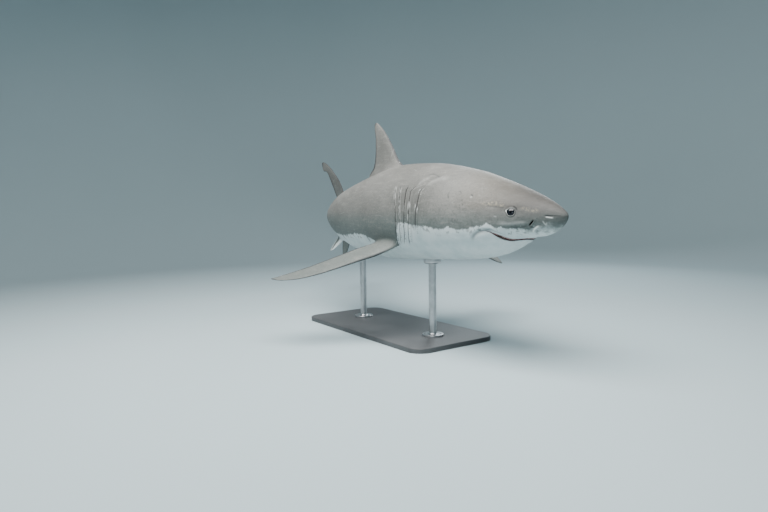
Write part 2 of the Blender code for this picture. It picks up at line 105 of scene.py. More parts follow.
# Fins: rows from root to tip, each (leading s, y, z), (trailing s, y, z), thickness.
FIRST_DORSAL = (((34.4, 0, 6.2), (45.0, 0, 5.6), 2.1), ((35.4, 0, 8.8), (46.6, 0, 7.75), 1.5),
                ((36.7, 0, 10.0), (45.1, 0, 9.4), 1.15), ((38.9, 0, 13.2), (44.4, 0, 11.7), 0.85),
                ((41.3, 0, 16.05), (44.2, 0, 14.6), 0.52), ((43.0, 0, 17.45), (44.5, 0, 16.7), 0.3),
                ((43.9, 0, 17.95), (44.6, 0, 17.55), 0.16))
SECOND_DORSAL = (((71.6, 0, 1.2), (74.6, 0, 1.2), 0.5), ((72.2, 0, 2.8), (75.7, 0, 3.05), 0.35),
                 ((73.1, 0, 3.7), (74.7, 0, 3.5), 0.22), ((73.9, 0, 4.3), (74.5, 0, 4.2), 0.12))
ANAL = (((75.3, 0, -0.9), (78.4, 0, -0.9), 0.5), ((75.9, 0, -2.2), (79.4, 0, -2.6), 0.35),
        ((76.8, 0, -3.2), (78.5, 0, -3.1), 0.22), ((77.7, 0, -3.85), (78.3, 0, -3.75), 0.12))
PECTORAL = (((29.0, 4.6, -3.7), (34.9, 4.3, -3.6), 1.7), ((29.6, 6.1, -4.9), (35.9, 5.9, -4.6), 1.4),
            ((30.6, 9.0, -6.3), (37.2, 9.0, -5.6), 1.1), ((32.0, 12.0, -7.3), (38.0, 12.0, -6.6), 0.85),
            ((33.7, 15.0, -8.4), (38.9, 15.0, -7.65), 0.65),
            ((35.6, 18.0, -9.45), (40.1, 18.0, -8.7), 0.48),
            ((37.8, 21.0, -10.2), (41.2, 21.0, -9.6), 0.32),
            ((39.5, 22.8, -10.35), (41.7, 22.9, -10.1), 0.2),
            ((40.9, 23.6, -10.25), (41.6, 23.7, -10.2), 0.12))
PELVIC = (((52.4, 2.4, -3.0), (57.8, 1.9, -2.6), 0.8), ((53.0, 3.0, -4.9), (59.8, 2.3, -4.4), 0.55),
          ((54.7, 3.6, -6.2), (60.6, 2.9, -5.6), 0.38), ((56.7, 4.0, -7.1), (59.8, 3.7, -6.7), 0.22),
          ((58.2, 4.3, -7.45), (59.1, 4.25, -7.4), 0.12))
CAUDAL_UPPER = (((83.4, 0, 1.7), (91.6, 0, 1.6), 0.95),
                ((86.7, 0, 5.9), (93.0, 0, 4.6), 0.6), ((89.2, 0, 9.2), (94.7, 0, 7.9), 0.42),
                ((92.0, 0, 11.5), (96.1, 0, 10.7), 0.32), ((94.6, 0, 13.5), (97.5, 0, 12.5), 0.24),
                ((97.4, 0, 15.0), (99.1, 0, 12.75), 0.16), ((99.1, 0, 15.4), (99.8, 0, 14.7), 0.12))
CAUDAL_ROOT = ((82.2, 0, 0.0), (91.3, 0, -0.1), 1.0)
CAUDAL_LOWER = (((83.6, 0, -1.7), (91.5, 0, -1.6), 0.9),
                ((86.9, 0, -5.5), (92.7, 0, -4.6), 0.55), ((89.6, 0, -8.3), (93.9, 0, -7.6), 0.36),
                ((92.2, 0, -10.7), (94.8, 0, -10.2), 0.24), ((94.3, 0, -12.5), (95.5, 0, -12.2), 0.15),
                ((95.3, 0, -13.1), (95.8, 0, -13.0), 0.12))
# Middle of a pectoral fin's root, about which the fin swings, and its span.
PECTORAL_ROOT = Vector((32.5, 6.0, -4.7))
PECTORAL_SPAN = 17.6
# Swing back, arch and twist of each pectoral fin.
PECTORAL_POSE = {"left": (radians(17.5), 0.8, 0.45), "right": (0.0, 0.0, 0.0)}

# Mouth, percent of length: its corner, and the height of the lower lip by distance from the middle.
MOUTH_CORNER = 9.7
MOUTH_LINE = ((0, -3.42), (0.9, -3.46), (2.2, -3.54), (3.2, -3.34), (4.2, -2.86), (4.7, -2.5),
              (5.07, -2.24), (5.4, -2.13), (5.8, -2.2), (6.4, -2.35))
# Opening between the lips, millimetres, by s, and at the corner, metres.
MOUTH_GAP = ((6.0, 4.5), (6.5, 6.5), (7.1, 10.5), (7.7, 10.5), (8.3, 7), (8.8, 3), (9.3, 0.9), (9.7, 0.6))
MOUTH_SHUT = 0.0006
# The mouth begins behind this s, its lining and teeth face the throat, and all of it lies below a
# height, in metres.
MOUTH_START = 5.0
THROAT = 13.5
MOUTH_TOP = -0.02

# Eye and nostril: places on the flank, in percent.
EYE_S = 6.18
EYE_LEVEL = 0.46
EYE_RADIUS = 0.027
EYE_HALF_DEPTH = 0.018
EYE_SINK = 0.0115
NOSTRIL_S = 3.7
NOSTRIL_LEVEL = -1.05

# Gill slits, percent of length. Rings of the skin start evenly spaced and are swept onto these lines,
# given as s at each share of the height from the foot, -1, to the top, 1.
GILL_COUNT = 5
GILL_FIRST = 22.45
GILL_STEP = 1.27
GILL_SHARES = (-1, -0.5, 0, 0.5, 0.82, 1)
GILL_LINES = ((24.3, 22.8, 22.45, 22.25, 22.3, 21.6), (26.0, 24.75, 24.2, 24.35, 24.55, 23.6),
              (27.5, 25.8, 25.3, 25.45, 25.7, 25.6), (28.4, 27.0, 26.55, 26.95, 27.4, 27.7),
              (29.3, 28.0, 27.6, 28.2, 28.75, 29.0))
GILL_TOP_LEVEL = 4.9
GILL_FOOT_LEVEL = -4.8
GILL_SECTION = 25.0
GILL_SWEEP_START = 14.0
GILL_SWEEP_END = 37.0
# Pale torn edges on each slit: (share of the height at the foot, at the top, strength).
GILL_STREAKS = (((0.12, 0.42, 1.0), (0.8, 0.95, 0.7)),
                ((-0.2, 0.47, 1.0), (-0.75, -0.28, 0.9), (0.8, 0.95, 0.8)),
                ((-1.0, -0.4, 0.8), (0.1, 0.5, 0.3)), ((-0.3, 0.9, 0.5), (-1.0, -0.6, 1.0)),
                ((-0.4, 0.97, 0.5), (-0.95, -0.7, 0.5)))
# How open each slit is, and the share of the height where it fades out below.
GILL_OPEN = ((0.42, -0.42), (0.7, -1.0), (0.7, -1.0), (0.62, -1.0), (0.7, -1.0))
# Profile across a slit, millimetres: place on the flank, place it moves to, height over the flank.
GILL_PROFILE = ((-24, -24, 0), (-15, -15, -0.6), (-9, -8.6, 1.5), (-4.5, -4, 2.4), (-1.5, -0.9, 2.5),
                (0, 0.6, 1.9), (1.2, 1.4, 0.4), (2.2, 0.9, -3), (3.2, 0.6, -7), (4.5, 3.0, -9.5),
                (6, 7, -9), (7.5, 9.8, -4.5), (9, 11.4, -1.2), (12, 13.2, 0.4), (18, 18, 0.4))

# Ragged wear of the fins' trailing edges, and how far round a fin's root the skin is evened out, metres.
TRAIL_WEAR = 0.005
JOIN_REACH = 0.03
JOIN_ROUNDS = 6

# Fineness of the skin.
SPOKES = 168
NOSE_STEP = 0.1
NOSE_END = 0.36
RING_STEPS = ((0, 0.115), (11, 0.13), (14, 0.24), (20, 0.28), (28, 0.34), (32, 0.5), (60, 0.62),
              (80, 0.5), (90, 0.4))

# The grey of the back ends at this height on the flank, percent of length: (s, z).
SHADE_LINE = ((0, -1.6), (0.67, -2), (1.36, -2), (1.96, -1.75), (2.73, -1.7), (3.3, -2), (3.91, -2.15),
              (4.35, -1.98), (5.32, -1.86), (6.57, -1.9), (7.17, -1.82), (8.07, -1.6), (9.1, -1.32),
              (10.26, -1.43), (11.83, -1.72), (13.56, -2), (15.46, -1.7), (17.37, -2.07), (19.5, -1.7),
              (22.7, -1.35), (25, -1.15), (27, -1.1), (27.9, -2.2), (28.6, -3.6), (29.4, -4.5),
              (32.3, -4.7), (34, -4.6), (35.7, -4.3), (37.9, -3.8), (39.1, -3.5), (42.2, -3.3),
              (46, -3.5), (49.4, -3.7), (58, -3), (66, -2), (75, -1.2), (82, -1.1), (90, -1.6))

# Camera: place in metres, and the angles it looks along.
CAMERA_PLACE = (3.386, -2.409, 0.887)
CAMERA_AZIMUTH = radians(34.63)
CAMERA_DIP = radians(4.54)
CAMERA_ROLL = radians(-0.89)


class Curve:
    """Smooth curve through (place, height) points, with no overshoot between them."""

    def __init__(self, points, power=1.0):
        self.power = power
        self.ends = points[0][0], points[-1][0]
        self.xs = [x ** power for x, _ in points]
        self.ys = [y for _, y in points]
        self.runs = [b - a for a, b in zip(self.xs, self.xs[1:])]
        rises = [(b - a) / run for a, b, run in zip(self.ys, self.ys[1:], self.runs)]
        self.slopes = [rises[0]]
        for before, after, left, right in zip(rises, rises[1:], self.runs, self.runs[1:]):
            if before * after <= 0:
                self.slopes.append(0.0)
            else:
                near, far = 2 * right + left, right + 2 * left
                self.slopes.append((near + far) / (near / before + far / after))
        self.slopes.append(rises[-1])

    def __call__(self, place):
        x = min(max(place, self.ends[0]), self.ends[1]) ** self.power
        i = min(max(bisect_right(self.xs, x) - 1, 0), len(self.runs) - 1)
        run = self.runs[i]
        u = (x - self.xs[i]) / run
        start = (1 + 2 * u) * (1 - u) ** 2 * self.ys[i] + u * (1 - u) ** 2 * run * self.slopes[i]
        end = u * u * (3 - 2 * u) * self.ys[i + 1] + u * u * (u - 1) * run * self.slopes[i + 1]
        return start + end


BACK_AT = Curve(BACK, ROUND_NOSE)
BELLY_AT = Curve(BELLY, ROUND_NOSE)
HALF_AT = Curve(HALF_WIDTH, ROUND_NOSE)
WIDEST_AT = Curve(WIDEST)
LIP_AT = Curve(MOUTH_LINE)
GAP_AT = Curve(MOUTH_GAP)
POWER_AT = Curve(FLANK_POWER)
SHADE_AT = Curve(SHADE_LINE)
STEP_AT = Curve(RING_STEPS)
SLITS_AT = [Curve(list(zip(GILL_SHARES, line))) for line in GILL_LINES]


def smooth(share):
    """Eases a share in and out, held between 0 and 1."""
    share = min(max(share, 0.0), 1.0)
    return share * share * (3 - 2 * share)


def hump(distance, width):
    """Soft bump: 1 at no distance, about a third at its width."""
    return exp(-(distance / width) ** 2)


def heading(s):
    """Angle of the backbone at s, to the shark's left of straight back."""
    share = min(max((s - SWING_START) / (SWING_END - SWING_START), 0.0), 1.0)
    return SWING_ANGLE * sin(pi * share) ** 2 + SWING_REST * smooth(share)


def backbone():
    """Points along the bent backbone, one for each step of s, in metres from the snout."""
    step = PATH_END / PATH_STEPS
    points = [(0.0, 0.0)]
    for i in range(PATH_STEPS):
        angle = heading((i + 0.5) * step)
        x, y = points[-1]
        points.append((x - cos(angle) * step * PERCENT, y + sin(angle) * step * PERCENT))
    return points


BACKBONE = backbone()


def pose(s, y, z):
    """World place of a point of the straight layout."""
    share = max(s, 0.0) / PATH_END * PATH_STEPS
    i = min(int(share), PATH_STEPS - 1)
    (x0, y0), (x1, y1) = BACKBONE[i], BACKBONE[i + 1]
    middle_x = x0 + (x1 - x0) * (share - i) - min(s, 0.0) * PERCENT
    middle_y = y0 + (y1 - y0) * (share - i)
    roll = ROLL_ANGLE * smooth((s - ROLL_START) / (ROLL_END - ROLL_START))
    across = (y * cos(roll) - z * sin(roll)) * PERCENT
    up = (y * sin(roll) + z * cos(roll)) * PERCENT
    turn = heading(s)
    return Vector((SNOUT_X + middle_x + across * sin(turn), middle_y + across * cos(turn), SNOUT_Z + up))


def laid(s, y, z):
    """Straight place in metres, x forward from the tip of the snout."""
    return Vector((-s, y, z)) * PERCENT


def posed(place):
    """World place of a straight place in metres."""
    return pose(-place.x / PERCENT, place.y / PERCENT, place.z / PERCENT)


def section(s):
    """Back, belly, half width, widest level and power of the body's section."""
    top, foot = BACK_AT(s), BELLY_AT(s)
    level = min(max(WIDEST_AT(s), foot * 0.6), max(top * 0.6, foot * 0.6))
    half = HALF_AT(s)
    if s > TAIL_START:
        close = sqrt(max(1 - ((s - TAIL_START) / (TAIL_END - TAIL_START)) ** 2, 0.0004))
        top, foot, half = level + (top - level) * close, level + (foot - level) * close, half * close
    return top, foot, half, level, POWER_AT(s)


def section_point(s, angle):
    """Straight place on the body at s, angle 0 on the left flank and 90 degrees on the back."""
    top, foot, half, level, power = section(s)
    across, up = cos(angle), sin(angle)
    y = half * abs(across) ** (2 / power) * (1 if across >= 0 else -1)
    reach = top - level if up >= 0 else foot - level
    return laid(s, y, level + reach * abs(up) ** (2 / power))


def section_outward(s, angle):
    """Outward direction of the body there."""
    along = section_point(s + 0.02, angle) - section_point(max(s - 0.02, 0.0), angle)
    around = section_point(s, angle + 0.01) - section_point(s, angle - 0.01)
    return along.cross(around).normalized()


def height_over_body(place):
    """How far a straight place stands out of the body, in metres, about right near the surface."""
    s = -place.x / PERCENT
    top, foot, half, level, power = section(min(s, TAIL_START))
    y, z = abs(place.y) / PERCENT, place.z / PERCENT - level
    reach = top - level if z >= 0 else level - foot
    share = ((y / half) ** power + (abs(z) / reach) ** power) ** (1 / power)
    out = hypot(y, z) * (1 - 1 / max(share, 0.05)) * PERCENT
    return out + max(s - TAIL_START, 0.0) * PERCENT


def flank_angle(s, level, side):
    """Section angle of the flank at that height, on the left for side 1 and the right for -1."""
    low, high = -pi / 2, pi / 2
    for _ in range(40):
        angle = (low + high) / 2
        if section_point(s, angle).z < level * PERCENT:
            low = angle
        else:
            high = angle
    return angle if side > 0 else pi - angle


def swept(turn, rise):
    """s of the skin's ring `turn` at height `rise`: -1 at the foot of the gill slits, 1 at their top."""
    last = GILL_FIRST + GILL_STEP * (GILL_COUNT - 1)
    shifts = [slit(rise) - GILL_FIRST - GILL_STEP * i for i, slit in enumerate(SLITS_AT)]
    if turn <= GILL_FIRST:
        return turn + shifts[0] * smooth((turn - GILL_SWEEP_START) / (GILL_FIRST - GILL_SWEEP_START))
    if turn >= last:
        return turn + shifts[-1] * (1 - smooth((turn - last) / (GILL_SWEEP_END - last)))
    i = int((turn - GILL_FIRST) / GILL_STEP)
    share = (turn - GILL_FIRST) / GILL_STEP - i
    return turn + shifts[i] * (1 - share) + shifts[i + 1] * share


def ring_turns():
    """Places of the skin's rings: close together on the snout and across each gill slit."""
    turns = []
    while not turns or turns[-1] < NOSE_END:
        turns.append(((len(turns) + 0.4) * NOSE_STEP) ** 2)
    slits = [GILL_FIRST + GILL_STEP * i for i in range(GILL_COUNT)]
    crowd = sorted(slit + row[0] * MM / PERCENT for slit in slits for row in GILL_PROFILE)
    corner = False
    while turns[-1] < TAIL_END - 0.1:
        turn = turns[-1] + STEP_AT(turns[-1])
        if not corner and turn > MOUTH_CORNER - 0.06:
            turn, corner = MOUTH_CORNER, True
        if turns[-1] < crowd[0] <= turn + 0.1:
            turns += crowd
        else:
            turns.append(min(turn, TAIL_END))
    return turns


def rolled(name, rings, spokes, place):
    """Closed tube from a grid: place(ring, spoke) puts each point, the seam is welded, the ends filled."""
    mesh = bmesh.new()
    bmesh.ops.create_grid(mesh, x_segments=rings - 1, y_segments=spokes, size=0.5)
    for vert in mesh.verts:
        ring = round((vert.co.x + 0.5) * (rings - 1))
        vert.co = place(ring, round((vert.co.y + 0.5) * spokes) % spokes)
    bmesh.ops.remove_doubles(mesh, verts=mesh.verts[:], dist=1e-6)
    bmesh.ops.holes_fill(mesh, edges=[edge for edge in mesh.edges if edge.is_boundary], sides=0)
    bmesh.ops.recalc_face_normals(mesh, faces=mesh.faces[:])
    return add_object(name, mesh)


def add_object(name, mesh, recalculate=False):
    """Object of the bmesh, shaded smooth."""
    if recalculate:
        bmesh.ops.recalc_face_normals(mesh, faces=mesh.faces[:])
    data = bpy.data.meshes.new(name)
    mesh.to_mesh(data)
    mesh.free()
    data.shade_smooth()
    item = bpy.data.objects.new(name, data)
    bpy.context.scene.collection.objects.link(item)
    return item


def dress(item, slot, *materials, nodes=()):
    """Gives a finished piece its materials, its body and the nodes it stands for; its slot is not used."""
    for material in materials:
        item.data.materials.append(material)
    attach(item, "root")
    if nodes:
        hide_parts(*nodes)
    return item


# ---- Fins -------------------------------------------------------------------------------------

BODY, DORSAL, PECTORAL_FIN, PELVIC_FIN, TAIL_FIN, JOIN = 0, 1, 2, 3, 4, -1
# How dark each kind of fin's edges are, and the whole fin at least.
FIN_DARKNESS = {DORSAL: (1.0, 0.2), PECTORAL_FIN: (1.0, 0.1), PELVIC_FIN: (0.25, 0.0), TAIL_FIN: (0.8, 0.35)}


def flatten(row):
    """A fin's row as one list of numbers."""
    return (*row[0], *row[1], row[2])


def pectoral_rows(label):
    """The pectoral fin's rows, posed for one side."""
    swing, arch, twist = PECTORAL_POSE[label]
    turn = Matrix.Rotation(swing, 3, "Z")
    rows = []
    for lead, trail, thickness in PECTORAL:
        share = max((lead[1] - PECTORAL_ROOT.y) / PECTORAL_SPAN, 0.0)
        lift = Vector((0, 0, arch * 4 * share * (1 - share)))
        rise = Vector((0, 0, twist * share * (trail[0] - lead[0])))
        lead = turn @ (Vector(lead) + lift - PECTORAL_ROOT) + PECTORAL_ROOT
        trail = turn @ (Vector(trail) + lift + rise - PECTORAL_ROOT) + PECTORAL_ROOT
        rows.append((lead, trail, thickness))
    return rows


def fin_tube(name, rows, kind, notes, flare, size, side=1, tips=(False, True)):
    """A fin from smooth curves through its rows, spread a little where it meets the body.

    size is its number of rings and spokes, tips tells which of its ends are rounded off.
    notes keeps, for each point, the fin's kind, span and chord shares and upper or lower face.
    """
    tracks = [Curve(list(enumerate(values))) for values in zip(*map(flatten, rows))]
    end = len(rows) - 1
    rings, spokes = size
    sections = {}

    def section_of(ring):
        u = end * ring / (rings - 1)
        close = 1.0
        for tip, away in zip(tips, (u, end - u)):
            if tip and away < 0.4:
                close = sqrt(max(1 - (1 - away / 0.4) ** 2, 0.01))
        numbers = [track(u) for track in tracks]
        ahead = [track(u + 0.1) for track in tracks]
        behind = [track(u - 0.1) for track in tracks]
        span = Vector(ahead[0:3]) + Vector(ahead[3:6]) - Vector(behind[0:3]) - Vector(behind[3:6])
        lead, trail = Vector(numbers[0:3]), Vector(numbers[3:6])
        normal = (trail - lead).cross(span).normalized()
        for vector in (lead, trail, normal):
            vector.y *= side
        return u / end, close, lead, trail, normal, numbers[6]

    def place(ring, spoke):
        if ring not in sections:
            sections[ring] = section_of(ring)
        u, close, lead, trail, normal, thickness = sections[ring]
        angle = 2 * pi * (spoke + 0.5) / spokes
        share = (1 - cos(angle)) / 2
        chord = trail - lead
        swell = 2.6 * sqrt(share) * (1 - share) ** 1.1
        half = max(thickness * swell / 2, FIN_EDGE / PERCENT / 2) * max(close, 0.6)
        face = 1 if sin(angle) >= 0 else -1
        ragged = max(share - 0.75, 0.0) ** 2 * 16 * noise.noise((u * 26, kind * 9.1, 0.0))
        point = lead + chord * (0.5 + (share - 0.5) * close) + normal * half * face
        point -= chord.normalized() * max(ragged, 0.0) * TRAIL_WEAR / PERCENT
        spread = flare * exp(-max(height_over_body(laid(*point)), -0.6 * flare) / (1.6 * flare))
        point += (normal * sin(angle) - chord.normalized() * cos(angle)) * (spread / PERCENT)
        co = laid(*point)
        notes.append((co, (kind, u, share, face)))
        return co

    return rolled(name, rings, spokes, place)


def body_tube(notes):
    """The body without its fins; notes keeps each point's s, section angle, ring and height."""
    turns = ring_turns()
    low, high = GILL_FOOT_LEVEL * PERCENT, GILL_TOP_LEVEL * PERCENT
    angles = [pi / 2 - 2 * pi * spoke / SPOKES for spoke in range(SPOKES)]
    levels = [section_point(GILL_SECTION, angle).z for angle in angles]
    rises = [min(max(2 * (level - low) / (high - low) - 1, -1.0), 1.0) for level in levels]

    def place(ring, spoke):
        s = swept(turns[ring], rises[spoke])
        co = section_point(s, angles[spoke])
        notes.append((co, (BODY, s, angles[spoke], turns[ring], rises[spoke])))
        return co

    return rolled("skin_body", len(turns), SPOKES, place)


def joined(body, fins):
    """Mesh of the body and fins as one closed shell."""
    group = bpy.data.collections.new("fins")
    for fin in fins:
        group.objects.link(fin)
    union = body.modifiers.new("fins", "BOOLEAN")
    union.operation = "UNION"
    union.solver = "EXACT"
    union.operand_type = "COLLECTION"
    union.collection = group
    data = bpy.data.meshes.new_from_object(body.evaluated_get(bpy.context.evaluated_depsgraph_get()))
    for item in [body, *fins]:
        bpy.data.objects.remove(item)
    bpy.data.collections.remove(group)
    mesh = bmesh.new()
    mesh.from_mesh(data)
    bpy.data.meshes.remove(data)
    return mesh


# ---- Skin: notes kept on its points -----------------------------------------------------------

NOTE_LAYERS = ("kind", "along", "round", "turn", "rise")
# dark holds painted shade in folds, creases, gill slits and round the mouth, eyes and nostrils,
# with some of the skin's own dark spots; inner is painted near-black as shade in the pockets.
LOOK_LAYERS = ("fleck", "dots", "shade", "mouth", "inner", "fin_edge", "pale", "dark", "gill", "under")


def note_points(mesh, notes):
    """Keeps each point's note in the mesh's layers. Points made by the joining get kind JOIN.

    Returns the places of those points.
    """
    layers = [mesh.verts.layers.float.new(name) for name in NOTE_LAYERS]
    for name in LOOK_LAYERS:
        mesh.verts.layers.float.new(name)
    tree = KDTree(len(notes))
    for i, (co, _) in enumerate(notes):
        tree.insert(co, i)
    tree.balance()
    joints = []
    for vert in mesh.verts:
        _, i, distance = tree.find(vert.co)
        note = notes[i][1] if distance < 2e-6 else (JOIN,)
        for layer, value in zip(layers, note):
            vert[layer] = value
        if note[0] == JOIN:
            joints.append(vert.co.copy())
    return joints


def soften_joins(mesh, joints):
    """Evens out the mesh round the fins' roots, so that they flow into the body."""
    tree = KDTree(len(joints))
    for i, co in enumerate(joints):
        tree.insert(co, i)
    tree.balance()
    kind = mesh.verts.layers.float["kind"]
    chord = mesh.verts.layers.float["round"]
    near = []
    for vert in mesh.verts:
        distance = tree.find(vert.co)[2]
        thin = vert[kind] > BODY and vert[chord] > 0.93
        if distance < JOIN_REACH and not thin:
            near.append((vert, 1 - distance / JOIN_REACH))
    inner = [vert for vert, share in near if share > 0.45]
    outer = [vert for vert, _ in near]
    for verts, rounds in ((inner, JOIN_ROUNDS), (outer, JOIN_ROUNDS // 2)):
        for _ in range(rounds):
            bmesh.ops.smooth_vert(mesh, verts=verts, factor=0.5, use_axis_x=True, use_axis_y=True,
                                  use_axis_z=True)


# ---- Head: finer mesh, mouth and marks ---------------------------------------------------------

class Spot:
    """Flat millimetre coordinates round a place on the flank: back along the body, and up."""

    def __init__(self, s, level, side):
        angle = flank_angle(s, level, side)
        self.place = section_point(s, angle)
        self.outward = section_outward(s, angle)
        if self.outward.y * side < 0:
            self.outward = -self.outward
        ahead = Vector((1, 0, 0))
        self.back = -(ahead - self.outward * ahead.dot(self.outward)).normalized()
        self.up = self.outward.cross(self.back) * side
        if self.up.z < 0:
            self.up = -self.up

    def flat(self, place):
        away = place - self.place
        return away.dot(self.back) / MM, away.dot(self.up) / MM

    def near(self, place, reach):
        return (place - self.place).length < reach


def refine(mesh, near, rounds=1):
    """Splits the faces round the chosen places and sets the new points back on the body."""
    kind, along, around = (mesh.verts.layers.float[name] for name in ("kind", "along", "round"))
    for _ in range(rounds):
        edges = [edge for edge in mesh.edges
                 if all(vert[kind] == BODY and near(vert.co) for vert in edge.verts)]
        bmesh.ops.subdivide_edges(mesh, edges=edges, cuts=1, use_grid_fill=True)
    for vert in mesh.verts:
        if vert[kind] == BODY and near(vert.co):
            vert.co = section_point(vert[along], vert[around])


def mouth_height(y):
    """Height of the lower lip at that distance from the middle, in percent."""
    return LIP_AT(abs(y))


def mouth_opening(s):
    """Height of the mouth's opening in percent, closing towards the corner."""
    return GAP_AT(s) * MM / PERCENT


def mouth_share(place):
    """Height of a place between the lower lip, 0, and the upper lip, 1."""
    return (place.z / PERCENT - mouth_height(place.y / PERCENT)) / mouth_opening(-place.x / PERCENT)


def cut_mouth(mesh):
    """Cuts the mouth out of the head. Returns the edges round it.

    The head is stretched so that the lips lie on two level planes, cut there and put back.
    """
    kind, along = mesh.verts.layers.float["kind"], mesh.verts.layers.float["along"]
    faces = [face for face in mesh.faces
             if all(vert[kind] == BODY and MOUTH_START < vert[along] < MOUTH_CORNER + 0.01
                    and vert.co.z < MOUTH_TOP for vert in face.verts)]
    verts = {vert for face in faces for vert in face.verts}
    home = {vert: vert.co.copy() for vert in verts}
    for vert in verts:
        vert.co.z = mouth_share(vert.co)
    lips = {}
    for level in (0.0, 1.0):
        edges = {edge for face in faces for edge in face.edges}
        geometry = [*faces, *edges, *{vert for face in faces for vert in face.verts}]
        cut = bmesh.ops.bisect_plane(mesh, geom=geometry, dist=0.03, plane_co=(0, 0, level),
                                     plane_no=(0, 0, 1))
        for part in cut["geom_cut"]:
            if isinstance(part, bmesh.types.BMVert):
                part.co.z = level
                lips[part] = level
        faces = [part for part in cut["geom"] if isinstance(part, bmesh.types.BMFace)]
    gap = [face for face in faces if 0 < face.calc_center_median().z < 1]
    for vert in {vert for face in faces for vert in face.verts}:
        if vert in lips:
            level = mouth_height(vert.co.y / PERCENT) + lips[vert] * mouth_opening(-vert.co.x / PERCENT)
            vert.co.z = level * PERCENT
        else:
            vert.co = home[vert]
    bmesh.ops.delete(mesh, geom=gap, context="FACES")
    corners = [edge for edge in mesh.edges if edge.is_boundary and edge.calc_length() < 2 * MOUTH_SHUT
               and all(vert[along] > MOUTH_CORNER - 0.02 for vert in edge.verts)]
    bmesh.ops.collapse(mesh, edges=corners)
    return [edge for edge in mesh.edges if edge.is_boundary]


# Radius of the rolled lips, how far the folds round them reach, and the rows of the mouth's lining:
# place in from the lip and height over it. All in millimetres.
LIP_ROLL = 5.0
LIP_REACH = 40
LINING = ((2, -0.3), (3.5, -1.8), (5.5, -3.4), (8, -3.8), (10.5, -2.4), (12.5, 0.6), (17, 3.8),
          (24, 6.5), (36, 10), (52, 12), (70, 8), (80, 1.5))
# The mouth counts as open where its lips are this far apart, in metres.
WIDE_OPEN = 0.008


def lip_inward(place):
    """Level direction from a lip into the mouth, and how open the mouth is there."""
    throat = laid(THROAT, 0, 0)
    inward = Vector((throat.x - place.x, -place.y, 0)).normalized()
    return inward, smooth(mouth_opening(-place.x / PERCENT) * PERCENT / WIDE_OPEN)


def form_lips(mesh, rim):
    """Rolls the lips in, presses the fold above them, and lines the mouth."""
    layers = {name: mesh.verts.layers.float[name] for name in NOTE_LAYERS + LOOK_LAYERS}
    kind, along = layers["kind"], layers["along"]
    lips = list({vert for edge in rim for vert in edge.verts})
    upper = {vert: mouth_share(vert.co) > 0.5 for vert in lips}
    home = {vert: vert.co.copy() for vert in lips}
    tree = KDTree(len(lips))
    for i, vert in enumerate(lips):
        tree.insert(home[vert], i)
    tree.balance()
    for vert in mesh.verts:
        if vert[kind] != BODY or not MOUTH_START - 0.5 < vert[along] < THROAT or vert.co.z > MOUTH_TOP:
            continue
        place, i, distance = tree.find(vert.co)
        distance /= MM
        if distance > LIP_REACH:
            continue
        above = vert.co.z > place.z if vert not in home else upper[vert]
        s = -place.x / PERCENT
        back = smooth((s - 6.9) / 2.0)
        inward, open_share = lip_inward(place)
        roll = 0.0
        if distance < LIP_ROLL:
            roll = LIP_ROLL - sqrt(LIP_ROLL ** 2 - (LIP_ROLL - distance) ** 2)
        if above:
            fold = 2.4 * hump(distance - 13, 3.2) * back - 1.3 * hump(distance - 7, 3.5) * back
            # Painted shade in the groove above the upper lip.
            vert[layers["dark"]] = max(vert[layers["dark"]], 0.55 * hump(distance - 13, 3.0) * back)
        else:
            fold = 1.8 * hump(distance - 11, 3.4) * back - 1.0 * hump(distance - 5.5, 3.0)
        vert.co += inward * ((roll * (0.35 + 0.65 * open_share) + fold) * MM)
        # Painted shade along the lips, where the mouth's gap lies.
        vert[layers["dark"]] = max(vert[layers["dark"]], 0.75 * hump(distance, 3.0))
    line_mouth(mesh, rim, lips, upper, home, layers)


def line_mouth(mesh, rim, lips, upper, home, layers):
    """Extrudes the lips into the mouth, row by row, and closes the lining behind."""
    starts = {vert: (vert.co.copy(), *lip_inward(home[vert]), 1 if upper[vert] else -1) for vert in lips}
    edges = rim
    for inward_mm, rise_mm in LINING:
        made = bmesh.ops.extrude_edge_only(mesh, edges=edges)["geom"]
        edges = [part for part in made if isinstance(part, bmesh.types.BMEdge)]
        moved = {}
        for vert in [part for part in made if isinstance(part, bmesh.types.BMVert)]:
            before = next(edge.other_vert(vert) for edge in vert.link_edges
                          if edge.other_vert(vert) in starts)
            start, inward, open_share, sign = starts[before]
            depth = inward_mm * (0.22 + 0.78 * open_share)
            vert.co = start + (inward * depth + Vector((0, 0, sign * rise_mm * open_share))) * MM
            vert[layers["kind"]] = BODY
            vert[layers["mouth"]] = smooth((inward_mm - 0.5) / 3) + smooth((inward_mm - 11) / 25)
            # Painted shade on the lining just inside the lips.
            vert[layers["dark"]] = max(0.5 - inward_mm / 9, 0)
            moved[vert] = starts[before]
        starts = moved
    filled = bmesh.ops.holes_fill(mesh, edges=edges, sides=0)["faces"]
    bmesh.ops.triangulate(mesh, faces=filled)


# Nostril: half its width and height, in millimetres, and its tilt.
NOSTRIL_HALF = (5.0, 18.5)
NOSTRIL_TILT = radians(46)

